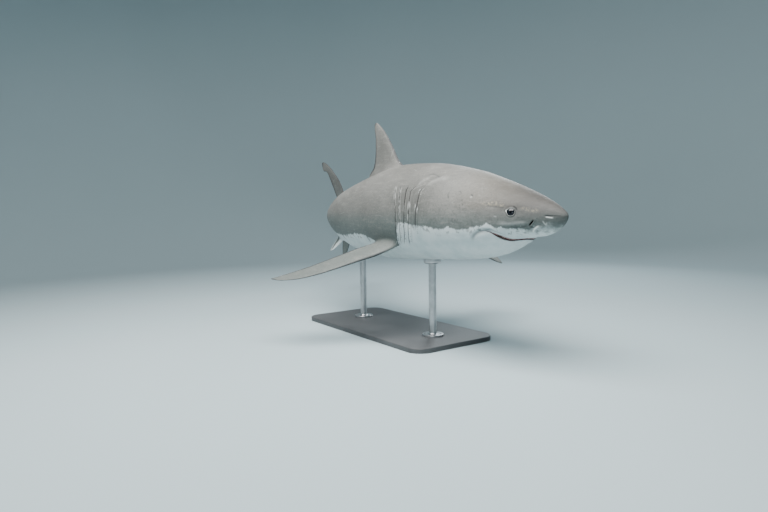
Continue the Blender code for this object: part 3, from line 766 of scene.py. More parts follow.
# Marks on each side of the head: places (s, level) in percent, depth and width in millimetres, then
# how dark, how pale and how flecked the mark is.
MARKS = (
    (((2.2, -0.1), (1.75, -0.14), (1.3, -0.16)), 2.2, 3.4, 1.0, 0, 0),
    (((1.3, -0.16), (0.55, -0.18)), 1.0, 3.6, 0.6, 0, 0),
    (((2.08, -0.26), (1.68, -0.35), (1.3, -0.4)), -0.8, 2.8, 0, 0.85, 0),
    (((2.95, -1.42), (3.38, -1.7), (3.68, -1.95), (3.95, -2.25)), -3.2, 3.4, 0, 1.0, 0),
    # Painted shadow in the grooves beneath and above the nostril's flap.
    (((3.25, -1.95), (3.55, -2.25), (3.75, -2.6)), 1.6, 5.0, 0.55, 0, 0),
    (((2.7, -1.25), (3.1, -1.4), (3.45, -1.55)), 1.2, 4.0, 0.5, 0, 0),
    (((3.95, -1.52), (3.68, -1.58), (3.42, -1.68)), 1.6, 3.4, 0.85, 0, 0),
    (((2.4, -0.78), (2.32, -1.05), (2.18, -1.3), (2.0, -0.98)), -0.5, 2.6, 0, 0.45, 0),
    (((4.15, -1.45), (5.14, -1.64), (5.86, -1.64), (6.3, -1.45)), 1.0, 5.0, 0.55, 0, 0),
    (((4.3, -0.6), (4.9, -0.7), (5.6, -0.62)), 0.4, 4.0, 0.3, 0, 0),
    (((7.7, -1.05), (6.4, -1.15), (5.2, -1.0), (4.3, -0.98)), -0.6, 9.0, 0, 0.22, 0),
    # Painted shade in the crease arcing over the front of the eye.
    (((5.98, 1.12), (5.68, 0.95), (5.42, 0.6)), 1.6, 3.0, 0.9, 0, 0),
    (((9.6, 1.34), (8.68, 1.24), (7.84, 1.09), (7.1, 0.92)), 0.8, 6.0, 0.5, 0, 0),
    (((8.35, -0.1), (7.95, -0.15)), -0.3, 2.4, 0, 0.35, 0),
    (((10.4, 1.8), (8.51, 1.62), (7.2, 1.4)), 0.0, 11.0, 0, 0, 0.6),
    (((5.1, 0.95), (3.95, 0.72), (3.0, 0.55)), 0.0, 8.0, 0, 0, 0.55),
    (((12.6, 3.02), (12.2, 2.8)), 1.2, 3.4, 1.0, 0, 0),
    (((12.55, 2.7), (12.25, 2.58)), -0.4, 4.4, 0, 0.3, 0),
    (((16.41, 3.51), (16.5, 3.1), (16.07, 2.48)), 0.8, 2.8, 0.8, 0, 0),
    (((14.92, 3.6), (14.5, 3.5), (14.17, 3.14)), 0.5, 2.6, 0.6, 0, 0),
    (((13.72, 2.3), (13.66, 2.15)), 0.8, 3.2, 0.9, 0, 0),
    (((13.4, 1.68), (13.36, 1.5)), 0.8, 3.2, 0.9, 0, 0),
    (((3.98, 2.2), (3.85, 2.24)), 0.5, 2.8, 0.8, 0, 0),
    # Painted shade in the fold behind the mouth's corner, darkest near the corner.
    (((8.5, -2.02), (9.35, -1.99), (10.55, -2.2), (11.45, -2.71), (12.2, -3.45)), 6.5, 9.5, 0.6, 0, 0),
    (((9.3, -2.08), (10.2, -2.16), (11.0, -2.45)), 1.6, 3.6, 0.5, 0, 0),
    (((22.75, 6.35), (21.93, 6.54), (20.9, 6.29), (19.9, 5.87)), 0.6, 3.0, 0.6, 0, 0),
    # Shoulder folds above the gills: painted highlight on the raised crests, painted shade in the grooves.
    (((21.6, 4.7), (20.8, 5.25), (19.6, 5.7), (18.0, 5.6)), -2.6, 12.0, 0, 0.12, 0),
    (((21.9, 5.2), (21.0, 5.8), (19.8, 6.25)), 2.0, 10.0, 0.12, 0, 0),
    (((23.6, 4.8), (22.9, 5.5), (21.9, 6.0)), -2.4, 11.0, 0, 0.12, 0),
    (((24.4, 5.3), (23.6, 6.0), (22.6, 6.5)), 1.8, 10.0, 0.1, 0, 0),
    (((9.9, -1.72), (8.9, -1.62), (8.0, -1.95)), -1.6, 7.0, 0, 0.3, 0),
)
# The marks lie ahead of this s, are pressed in ahead of the next, and are sought this far around.
MARKS_END = 25.5
HEAD_END = 25
MARK_REACH = 1.0


def near_marks(s, level):
    """Marks with a place close to this one."""
    if s > MARKS_END:
        return []
    return [mark for mark in MARKS
            if any(abs(s - place[0]) < MARK_REACH and abs(level - place[1]) < MARK_REACH
                   for place in mark[0])]


def stroke_distance(stroke, s, level):
    """Distance in millimetres from a stroke drawn on the flank, and the share along it."""
    best, share = 1e9, 0.0
    for i, ((s0, z0), (s1, z1)) in enumerate(zip(stroke, stroke[1:])):
        run, rise = s1 - s0, z1 - z0
        u = min(max(((s - s0) * run + (level - z0) * rise) / (run * run + rise * rise), 0.0), 1.0)
        distance = hypot(s0 + run * u - s, z0 + rise * u - level) * PERCENT / MM
        if distance < best:
            best, share = distance, (i + u) / (len(stroke) - 1)
    return best, share


def eye_form(back, up):
    """Height, pale and dark marks of the skin round the eye, at millimetres back and up from it."""
    away, bearing = hypot(back, up), atan2(up, back)
    rim = 21.2 + 3.2 * hump(bearing - 0.12, 0.3)
    if away < rim:
        # Painted shade in the socket inside the rim, under the eyeball.
        return -9.5 * smooth((rim - away) / 2.2) + 1.0, 0.0, smooth((rim - away) / 1.5)
    lid = 2.0 * hump(away - rim - 2.6, 2.6) - 1.2 * hump(away - rim - 9.5, 3.2) + 0.35
    lid *= 1 - smooth((away - rim - 16) / 14)
    pale_reach = 1.3 + 7 * hump(bearing - 0.12, 0.3) + 1.2 * hump(bearing - 1.4, 0.9)
    pale = 0.7 * smooth((pale_reach - (away - rim)) / 1.8)
    behind = hump(bearing - 0.35, 0.5) * hump(away - 36, 4)
    # The dark ring just outside the lid is painted shade where the lid falls towards its groove.
    return lid, pale, max(0.3 * behind, 0.4 * hump(away - rim - 6, 2.0))


def nostril_form(back, up):
    """Height of the skin at the nostril, and the share of its pit, which is painted dark as shade."""
    across = back * cos(NOSTRIL_TILT) + up * sin(NOSTRIL_TILT)
    along = up * cos(NOSTRIL_TILT) - back * sin(NOSTRIL_TILT)
    share = hypot(across / NOSTRIL_HALF[0], along / NOSTRIL_HALF[1])
    pit = smooth((1.25 - share) / 0.8)
    lip = 2.0 * hump(share - 1.6, 0.4) * smooth(-across / 4 + 0.3)
    return lip - 15 * pit, pit


def mark_head(mesh):
    """Presses the eye sockets, nostrils, creases and folds into the head and notes their looks."""
    layers = {name: mesh.verts.layers.float[name] for name in NOTE_LAYERS + LOOK_LAYERS}
    spots = {side: (Spot(EYE_S, EYE_LEVEL, side), Spot(NOSTRIL_S, NOSTRIL_LEVEL, side)) for side in (1, -1)}
    for vert in mesh.verts:
        s = vert[layers["along"]]
        if vert[layers["kind"]] != BODY or s > HEAD_END:
            continue
        side = 1 if vert.co.y > 0 else -1
        level = vert.co.z / PERCENT
        raised, pale, dark, inner = 0.0, 0.0, 0.0, 0.0
        eye, nostril = spots[side]
        if eye.near(vert.co, 0.07):
            raised, pale, dark = eye_form(*eye.flat(vert.co))
        if nostril.near(vert.co, 0.045):
            form, inner = nostril_form(*nostril.flat(vert.co))
            raised += form
            # Painted shade over the nostril's pit and its edge.
            dark = max(dark, 0.75 * smooth(inner * 2.2))
        fleck = 0.0
        for stroke, depth, width, darkened, lightened, flecked in near_marks(s, level):
            distance, share = stroke_distance(stroke, s, level)
            amount = hump(distance, width) * smooth(4 * min(share, 1 - share) + 0.3)
            raised -= depth * amount
            pale, dark = max(pale, lightened * amount), max(dark, darkened * amount)
            fleck = max(fleck, flecked * amount)
        brow = 3.0 * hump(s - 6.4, 1.9) * hump(level - 1.75, 0.65)
        jaw = 4.5 * hump(s - 9.2, 1.5) * hump(level + 3.3, 0.8)
        jaw += 3.0 * hump(s - 14, 1.8) * hump(level + 3.6, 1.2)
        uneven = 1.1 * noise.noise(Vector((s * 0.55, level * 0.7, side * 3.1)))
        fade = smooth((20 - s) / 4)
        raised += (brow + jaw + uneven) * fade * smooth(s / 3)
        vert.co += section_outward(s, vert[layers["round"]]) * (raised * MM)
        vert.co.x -= 0.001 * hump(s, 0.6)
        vert[layers["pale"]] = max(pale, 0.0)
        vert[layers["dark"]] = max(vert[layers["dark"]], dark)
        vert[layers["inner"]] = inner
        vert[layers["fleck"]] = fleck


def mark_gills(mesh):
    """Shapes each gill slit: a flap over a narrow pocket, with painted shade in the pocket and grooves."""
    layers = {name: mesh.verts.layers.float[name] for name in NOTE_LAYERS + LOOK_LAYERS}
    rows = [(row[0] * MM / PERCENT, row) for row in GILL_PROFILE]
    for vert in mesh.verts:
        if vert[layers["kind"]] != BODY:
            continue
        turn, rise = vert[layers["turn"]], vert[layers["rise"]]
        number = round((turn - GILL_FIRST) / GILL_STEP)
        if not 0 <= number < GILL_COUNT or abs(rise) > 0.995:
            continue
        offset = turn - GILL_FIRST - GILL_STEP * number
        row = min(rows, key=lambda item: abs(item[0] - offset))
        if abs(row[0] - offset) > 0.02:
            continue
        start, moved, height = row[1]
        opened, end = GILL_OPEN[number]
        share = smooth((1 - abs(rise)) / 0.16) * smooth((rise - end + 0.12) / 0.3)
        stretch = (swept(turn + 0.1, rise) - swept(turn - 0.1, rise)) / 0.2
        outward = section_outward(vert[layers["along"]], vert[layers["round"]])
        back = Vector((-1, 0, 0))
        back = (back - outward * back.dot(outward)).normalized()
        sway = 1 + 0.25 * noise.noise(Vector((rise * 2.5, number * 3.7, 0.5)))
        height *= opened if height < 0 else 1
        slide = (moved - start) * min(stretch, 1.2)
        vert.co += (outward * height * sway + back * slide) * share * MM
        # Painted shade: the deep part of each pocket is marked inner and painted near-black.
        depth = smooth(-(height + 0.4) / 2.5) if start > 2 else 0.0
        vert[layers["inner"]] = share * min(opened + 0.15, 1) * depth
        torn = max(strength * smooth((rise - foot) / 0.06) * smooth((top - rise) / 0.06)
                   for foot, top, strength in GILL_STREAKS[number])
        rims = hump(start + 1.5, 4.2) + 0.7 * hump(start - 11, 3)
        vert[layers["gill"]] = torn * rims * smooth(share * 2)
        in_white = smooth((0.05 - rise) / 0.1) * smooth((rise + 0.9) / 0.1)
        vert[layers["dots"]] = hump(start + 9, 5) * in_white
        # Painted shade in the slit, on the bank behind it and in the shallow groove ahead of the flap.
        slit = opened * 0.85 * hump(start - 6, 3.4)
        darkness = share * max(slit, 0.3 * hump(start - 13, 5), 0.25 * hump(start + 16, 4))
        vert[layers["dark"]] = max(vert[layers["dark"]], darkness)


def note_looks(mesh):
    """Notes how each point is coloured: above or below the edge of the grey, and fin edges."""
    layers = {name: mesh.verts.layers.float[name] for name in NOTE_LAYERS + LOOK_LAYERS}
    kind = layers["kind"]
    for vert in mesh.verts:
        if vert[kind] == BODY:
            s, level = -vert.co.x / PERCENT, vert.co.z / PERCENT
            vert[layers["shade"]] = level - SHADE_AT(s)
        elif vert[kind] > BODY:
            span, chord, face = (vert[layers[name]] for name in ("along", "round", "turn"))
            lead, trail = hump(chord, 0.03), hump(1 - chord, 0.07)
            if vert[kind] == TAIL_FIN:
                tip = smooth((abs(span - 0.5) - 0.45) / 0.05)
            else:
                tip = smooth((span - 0.86) / 0.12)
            if vert[kind] == PECTORAL_FIN:
                round_edge = 1 - smooth(chord / 0.03)
                vert[layers["shade"]] = 2.0 * face * (1 - round_edge) + 1.2 * round_edge
                vert[layers["under"]] = 0.3 + 0.7 * smooth((span - 0.5) / 0.25) if face < 0 else 0.0
            elif vert[kind] == PELVIC_FIN:
                rim = smooth((abs(chord - 0.4) - 0.08) / 0.3)
                vert[layers["shade"]] = 0.5 - 2.2 * rim - 1.2 * (face < 0)
            else:
                vert[layers["shade"]] = 3.0
            share, least = FIN_DARKNESS[vert[kind]]
            darkness = max(lead, trail, 0.7 * tip) * share + least
            root = smooth((span - 0.12) / 0.15) if vert[kind] != TAIL_FIN else 1.0
            vert[layers["fin_edge"]] = darkness * root
    blend_roots(mesh, layers)


def blend_roots(mesh, layers):
    """Carries the looks across the joins of the fins and softens them there."""
    kind = layers["kind"]
    blank = [vert for vert in mesh.verts if vert[kind] == JOIN]
    for _ in range(2):
        for vert in blank:
            around = [edge.other_vert(vert) for edge in vert.link_edges]
            known = [other for other in around if other[kind] != JOIN] or around
            for name in LOOK_LAYERS:
                vert[layers[name]] = sum(other[layers[name]] for other in known) / len(known)
    near = set(blank)
    for _ in range(3):
        near |= {edge.other_vert(vert) for vert in near for edge in vert.link_edges}
    for _ in range(4):
        for vert in near:
            around = [edge.other_vert(vert)[layers["shade"]] for edge in vert.link_edges]
            vert[layers["shade"]] = (vert[layers["shade"]] + sum(around) / len(around)) / 2


def near_fine_mark(co):
    """Tells the places where thin marks need a finer mesh."""
    s, level = -co.x / PERCENT, co.z / PERCENT
    return any(width < 4.5 and stroke_distance(stroke, s, level)[0] < 12
               for stroke, _, width, _, _, _ in near_marks(s, level))


def build_skin():
    """One skin over all the shark's flesh, posed."""
    notes = []
    body = body_tube(notes)
    fins = [fin_tube("skin_dorsal_first", FIRST_DORSAL, DORSAL, notes, 0.012, (64, 48)),
            fin_tube("skin_dorsal_second", SECOND_DORSAL, DORSAL, notes, 0.003, (28, 32)),
            fin_tube("skin_anal", ANAL, DORSAL, notes, 0.003, (28, 32)),
            fin_tube("skin_caudal", [*reversed(CAUDAL_UPPER), CAUDAL_ROOT, *CAUDAL_LOWER], TAIL_FIN, notes,
                     0.004, (110, 40), tips=(True, True))]
    for side, label in ((1, "left"), (-1, "right")):
        fins.append(fin_tube("skin_pectoral_" + label, pectoral_rows(label), PECTORAL_FIN, notes, 0.012,
                             (76, 48), side))
        fins.append(fin_tube("skin_pelvic_" + label, PELVIC, PELVIC_FIN, notes, 0.006, (36, 36), side))
    mesh = joined(body, fins)
    joints = note_points(mesh, notes)
    soften_joins(mesh, joints)
    eyes = [Spot(EYE_S, EYE_LEVEL, side) for side in (1, -1)]
    nostrils = [Spot(NOSTRIL_S, NOSTRIL_LEVEL, side) for side in (1, -1)]
    refine(mesh, lambda co: any(spot.near(co, 0.045) for spot in eyes + nostrils))
    refine(mesh, lambda co: any(spot.near(co, 0.03) for spot in eyes)
           or any(spot.near(co, 0.02) for spot in nostrils))
    refine(mesh, lambda co: any(spot.near(co, 0.026) and not spot.near(co, 0.016) for spot in eyes))
    refine(mesh, near_fine_mark)
    rim = cut_mouth(mesh)
    form_lips(mesh, rim)
    mark_head(mesh)
    mark_gills(mesh)
    note_looks(mesh)
    straight = mesh.verts.layers.float_vector.new("straight")
    for vert in mesh.verts:
        vert[straight] = vert.co
        vert.co = posed(vert.co)
    for name in NOTE_LAYERS:
        mesh.verts.layers.float.remove(mesh.verts.layers.float[name])
    return add_object("shark_skin", mesh, recalculate=True)


# ---- Teeth and eyes ---------------------------------------------------------------------------

# Rows of teeth: how far they run round the jaw to each side, and how far out, in percent.
TEETH_SPREAD = radians(66)
TEETH_HALF_WIDTH = 4.75
TOOTH_SPOKES = 12
# A tooth's width by its height, and its thickness, in metres.
TOOTH_WIDTH = 0.8
TOOTH_THICKNESS = 0.0042


def tooth(mesh, place, turn, size, up):
    """Adds one broad, pointed, slightly backward-bent blade."""
    width, thick, tall = size
    made = bmesh.ops.create_grid(mesh, x_segments=8, y_segments=TOOTH_SPOKES, size=0.5)["verts"]
    for vert in made:
        h = min(vert.co.x + 0.5, 1.0)
        angle = 2 * pi * round((vert.co.y + 0.5) * TOOTH_SPOKES) / TOOTH_SPOKES
        narrow = (1 - h) ** 0.8 * (1 + 0.25 * (1 - h) ** 4)
        across = cos(angle) * width / 2 * max(narrow, 0.02)
        deep = sin(angle) * thick / 2 * max((1 - h) ** 0.6, 0.04) + 0.16 * tall * h * h
        vert.co = Vector((deep, across, (h * tall - 0.3 * tall) * up))
    bmesh.ops.transform(mesh, matrix=Matrix.Translation(place) @ turn, verts=made)
    bmesh.ops.remove_doubles(mesh, verts=made, dist=1e-6)


def lip_place(y, level):
    """Place on the head's surface, in straight metres, at distance y and height `level`, in percent."""
    low, high = 5.0, 10.0
    for _ in range(24):
        s = (low + high) / 2
        if level < BELLY_AT(s) + 0.02 or section_point(s, flank_angle(s, level, 1)).y < abs(y) * PERCENT:
            low = s
        else:
            high = s
    return laid(s, y, level)


def teeth_row(name, up, inset, tall, count):
    """Row of teeth standing in the gum, following the lip: up is 1 for the lower jaw, -1 for the upper."""
    mesh = bmesh.new()
    for i in range(count):
        angle = TEETH_SPREAD * (2 * (i + 0.5) / count - 1)
        y = TEETH_HALF_WIDTH * sin(angle)
        level = mouth_height(y)
        lip = lip_place(y, level)
        if up < 0:
            lip = lip_place(y, level + mouth_opening(-lip.x / PERCENT))
        inward, _ = lip_inward(lip)
        size = 1 - 0.4 * abs(angle) / TEETH_SPREAD + 0.08 * noise.noise(Vector((i * 1.7, up, 0)))
        sunk = 0.001 + 0.003 * hump(angle, 0.5)
        place = posed(lip + inward * inset - Vector((0, 0, sunk * up)))
        lean = radians(7) * noise.noise(Vector((i * 2.3, up, 4.0)))
        turn = Matrix.Rotation(atan2(inward.y, inward.x), 4, "Z") @ Matrix.Rotation(lean, 4, "X")
        blade = (tall * TOOTH_WIDTH * size, TOOTH_THICKNESS * size, tall * size)
        tooth(mesh, place, turn, blade, up)
    bmesh.ops.holes_fill(mesh, edges=[edge for edge in mesh.edges if edge.is_boundary], sides=0)
    return add_object(name, mesh, recalculate=True)


def eyeball(name, side):
    """Smooth ball set in its socket; from_axis keeps each point's millimetres from the eye's axis."""
    spot = Spot(EYE_S, EYE_LEVEL, side)
    middle = posed(spot.place)
    outward = (posed(spot.place + spot.outward * 0.1) - middle).normalized()
    up = Vector((0, 0, 1))
    across = up.cross(outward).normalized()
    up = outward.cross(across)
    axes = Matrix((across, up, outward)).transposed().to_4x4()
    size = Matrix.Diagonal((EYE_RADIUS, EYE_RADIUS, EYE_HALF_DEPTH, 1))
    mesh = bmesh.new()
    bmesh.ops.create_uvsphere(mesh, u_segments=56, v_segments=36, radius=1.0)
    layer = mesh.verts.layers.float.new("from_axis")
    for vert in mesh.verts:
        vert[layer] = hypot(vert.co.x, vert.co.y) * EYE_RADIUS / MM
    place = Matrix.Translation(middle - outward * EYE_SINK)
    bmesh.ops.transform(mesh, matrix=place @ axes @ size, verts=mesh.verts)
    return add_object(name, mesh, recalculate=True)


# ---- Display stand ----------------------------------------------------------------------------

# The posts stand under these s. All else is in metres.
ROD_PLACES = {"front": 27.5, "rear": 50.0}
ROD_RADIUS = 0.026
FOOT_RADIUS = 0.075
FOOT_HEIGHT = 0.012
FOOT_ROUND = 0.002
SADDLE_RADIUS = 0.06
SADDLE_DROP = 0.03
SADDLE_LIP = 0.006
SADDLE_GAP = 0.0004
FILLET = 0.012
CUP_RADIUS = 0.0592
CUP_SHARES = (0.985, 0.97, 0.8, 0.6, 0.4, 0.2)
SCREW_RING = 0.056
SCREW_COUNT = 4
SCREW_HEIGHT = 0.0034
SCREW_ROUND = 0.0018
SOCKET_FLOOR = 0.0014
SOCKET_SHARE = 0.484


def stand_plate(settings):
    """Flat plate with round corners and a softly rounded rim, the size of the frame's own plate."""
    low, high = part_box("stand_base")
    size = high - low
    mesh = bmesh.new()
    bmesh.ops.create_cube(mesh, size=1.0)
    shape = Matrix.Translation((low + high) / 2) @ Matrix.Diagonal((*size, 1))
    bmesh.ops.transform(mesh, matrix=shape, verts=mesh.verts)
    upright = [edge for edge in mesh.edges if abs(edge.verts[0].co.z - edge.verts[1].co.z) > size.z / 2]
    bmesh.ops.bevel(mesh, geom=upright, offset=settings.corner, segments=24, profile=0.5, affect="EDGES",
                    material=-1)
    rim = [edge for edge in mesh.edges if all(vert.co.z > high.z - 1e-4 for vert in edge.verts)]
    bmesh.ops.bevel(mesh, geom=rim, offset=settings.rim, segments=5, profile=0.5, affect="EDGES",
                    material=-1)
    item = add_object("stand_plate", mesh, recalculate=True)
    item.data.set_sharp_from_angle(angle=radians(50))
    return item


def spun(mesh, profile, middle, steps=64):
    """Turns a profile of (radius, height) points round an upright axis. Returns the new points."""
    before = set(mesh.verts)
    verts = [mesh.verts.new((middle.x + radius, middle.y, height)) for radius, height in profile]
    edges = [mesh.edges.new(pair) for pair in zip(verts, verts[1:])]
    bmesh.ops.spin(mesh, geom=verts + edges, cent=middle, axis=(0, 0, 1), angle=2 * pi, steps=steps,
                   use_merge=True, use_normal_flip=False, use_duplicate=False)
    bmesh.ops.remove_doubles(mesh, verts=[vert for vert in mesh.verts if vert not in before], dist=1e-6)
    return {vert for vert in mesh.verts if vert not in before}


def round_over(radius, height, size, steps=4):
    """Quarter-round profile points, from the side up to the top of a disc."""
    return [(radius - size + size * cos(pi / 2 * i / steps), height - size + size * sin(pi / 2 * i / steps))
            for i in range(steps + 1)]


def stand_post(label, skin, screw_radius):
    """Turned post on a screwed foot, its saddle fitted to the belly."""
    node = "stand_rod_" + label
    low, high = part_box(node)
    middle = Vector(((low.x + high.x) / 2, (low.y + high.y) / 2, 0))
    belly = pose(ROD_PLACES[label], 0, BELLY_AT(ROD_PLACES[label])).z
    neck = belly - SADDLE_DROP
    floor = low.z
    profile = [(FOOT_RADIUS, floor), *round_over(FOOT_RADIUS, floor + FOOT_HEIGHT, FOOT_ROUND)]
    quarter = [pi / 2 * i / 8 for i in range(9)]
    for angle in quarter:
        profile.append((ROD_RADIUS + FILLET * (1 - sin(angle)),
                        floor + FOOT_HEIGHT + FILLET * (1 - cos(angle))))
    profile += [(ROD_RADIUS, neck - 0.02), (ROD_RADIUS, neck)]
    for angle in quarter[1:]:
        profile.append((ROD_RADIUS + (SADDLE_RADIUS - ROD_RADIUS) * sin(angle),
                        neck + FILLET * (1 - cos(angle))))
    profile += [(SADDLE_RADIUS, belly - SADDLE_LIP), (SADDLE_RADIUS, belly + SADDLE_LIP)]
    mesh = bmesh.new()
    spun(mesh, profile, middle)
    ends = [edge for edge in mesh.edges if edge.is_boundary]
    rim = [edge for edge in ends if edge.verts[0].co.z > belly]
    bmesh.ops.holes_fill(mesh, edges=[edge for edge in ends if edge not in rim], sides=0)
    for share in CUP_SHARES:
        made = bmesh.ops.extrude_edge_only(mesh, edges=rim)["geom"]
        rim = [part for part in made if isinstance(part, bmesh.types.BMEdge)]
        for vert in [part for part in made if isinstance(part, bmesh.types.BMVert)]:
            away = Vector((vert.co.x - middle.x, vert.co.y - middle.y, 0)).normalized()
            vert.co = middle + away * (CUP_RADIUS * share) + Vector((0, 0, vert.co.z))
    bmesh.ops.holes_fill(mesh, edges=rim, sides=0)
    tree = BVHTree.FromObject(skin, bpy.context.evaluated_depsgraph_get())
    for vert in mesh.verts:
        if vert.co.z > belly - 0.01:
            hit = tree.ray_cast(Vector((vert.co.x, vert.co.y, neck - 0.1)), Vector((0, 0, 1)))[0]
            top = (hit.z if hit else belly) - SADDLE_GAP
            vert.co.z = top if vert.co.z > belly else min(vert.co.z, top - SADDLE_LIP)
    for number in range(SCREW_COUNT):
        angle = pi / 4 + 2 * pi * number / SCREW_COUNT
        place = middle + Vector((cos(angle), sin(angle), 0)) * SCREW_RING
        add_screw(mesh, place, floor + FOOT_HEIGHT, screw_radius)
    item = add_object("stand_post_" + label, mesh, recalculate=True)
    item.data.set_sharp_from_angle(angle=radians(38))
    return item


def add_screw(mesh, middle, height, size):
    """Low button screw with a hexagonal socket."""
    profile = [(size, height - 0.001), (size, height + 0.0012),
               *round_over(size, height + SCREW_HEIGHT, SCREW_ROUND)]
    own = spun(mesh, profile, middle, steps=24)
    ends = [edge for edge in mesh.edges if edge.is_boundary and edge.verts[0] in own]
    socket = [edge for edge in ends if edge.verts[0].co.z > height]
    bmesh.ops.holes_fill(mesh, edges=[edge for edge in ends if edge not in socket], sides=0)
    for level in (height + SCREW_HEIGHT, height + SOCKET_FLOOR):
        made = bmesh.ops.extrude_edge_only(mesh, edges=socket)["geom"]
        socket = [part for part in made if isinstance(part, bmesh.types.BMEdge)]
        for vert in [part for part in made if isinstance(part, bmesh.types.BMVert)]:
            away = Vector((vert.co.x - middle.x, vert.co.y - middle.y, 0))
            turn = atan2(away.y, away.x) % (pi / 3) - pi / 6
            flat = away.normalized() * (size * SOCKET_SHARE * cos(pi / 6) / cos(turn))
            vert.co = middle + flat + Vector((0, 0, level))
    bmesh.ops.holes_fill(mesh, edges=socket, sides=0)


# ---- Finishes ---------------------------------------------------------------------------------

class Signal:
    """One socket of a finish. Sums and products of signals add the nodes for them."""

    def __init__(self, finish, socket):
        self.finish = finish
        self.socket = socket

    def math(self, operation, *values, clamp=False):
        settings = {"operation": operation, "use_clamp": clamp}
        return self.finish.node("ShaderNodeMath", settings, {i: v for i, v in enumerate((self, *values))})

    def __add__(self, other):
        return self.math("ADD", other)

    def __radd__(self, other):
        return self.math("ADD", other)

    def __sub__(self, other):
        return self.math("SUBTRACT", other)

    def __rsub__(self, other):
        return self.finish.node("ShaderNodeMath", {"operation": "SUBTRACT"}, {0: other, 1: self})

    def __mul__(self, other):
        return self.math("MULTIPLY", other)

    def __rmul__(self, other):
        return self.math("MULTIPLY", other)

    def __truediv__(self, other):
        return self.math("DIVIDE", other)

    def larger(self, other):
        return self.math("MAXIMUM", other)

    def clamped(self):
        return self.math("ADD", 0.0, clamp=True)

    def ramp(self, low, high):
        """0 below low, 1 above high and smooth between; falling where low is the larger."""
        return self.finish.node("ShaderNodeMapRange", {"interpolation_type": "SMOOTHSTEP"},
                                {"Value": self, "From Min": low, "From Max": high})

    def band(self, middle, reach):
        """1 at the middle, falling to 0 at reach from it."""
        return (self - middle).math("ABSOLUTE").ramp(reach, 0.0)


class Finish:
    """A material built from nodes."""

    def __init__(self, name):
        self.material = bpy.data.materials.new(name)
        self.material.use_nodes = True
        self.tree = self.material.node_tree
        self.shader = self.tree.nodes["Principled BSDF"]

    def node(self, kind, settings=None, values=None, output=0):
        """Adds a node, sets it up, links or sets its sockets, and returns one output."""
        made = self.tree.nodes.new(kind)
        for name, value in (settings or {}).items():
            setattr(made, name, value)
        for name, value in (values or {}).items():
            self.put(made.inputs[name], value)
        return Signal(self, made.outputs[output])

    def put(self, socket, value):
        """Links a signal to the socket, or sets a number, a vector or a colour of three parts."""
        if isinstance(value, Signal):
            self.tree.links.new(value.socket, socket)
        elif socket.type == "RGBA":
            socket.default_value = (*value, 1.0)
        else:
            socket.default_value = value

    def attribute(self, name):
        """A number kept on the mesh."""
        return self.node("ShaderNodeAttribute", {"attribute_name": name}, output=2)

    def place(self, name=None):
        """Object coordinates, or a vector kept on the mesh."""
        if name is None:
            return self.node("ShaderNodeTexCoord", output=3)
        return self.node("ShaderNodeAttribute", {"attribute_name": name}, output=1)

    def stretched(self, place, scale):
        return self.node("ShaderNodeVectorMath", {"operation": "MULTIPLY"}, {0: place, 1: scale})

    def parts(self, place):
        first = self.node("ShaderNodeSeparateXYZ", {}, {0: place})
        return [Signal(self, output) for output in first.socket.node.outputs]

    def noise(self, place, scale, detail=2.0, roughness=0.5, distortion=0.0):
        return self.node("ShaderNodeTexNoise", {}, {"Vector": place, "Scale": scale, "Detail": detail,
                                                    "Roughness": roughness, "Distortion": distortion})

    def cells(self, place, scale, feature="F1"):
        return self.node("ShaderNodeTexVoronoi", {"feature": feature}, {"Vector": place, "Scale": scale})

    def mix(self, share, first, second):
        """Colour that goes from the first to the second with the share."""
        return self.node("ShaderNodeMix", {"data_type": "RGBA"}, {0: share, 6: first, 7: second}, output=2)

    def bump(self, height, strength, distance, normal=None):
        values = {"Height": height, "Strength": strength, "Distance": distance}
        if normal is not None:
            values["Normal"] = normal
        return self.node("ShaderNodeBump", {}, values)

    def set(self, **sockets):
        """Sets or links the shader's sockets by name, and returns the material."""
        for name, value in sockets.items():
            self.put(self.shader.inputs[name.replace("_", " ")], value)
        return self.material


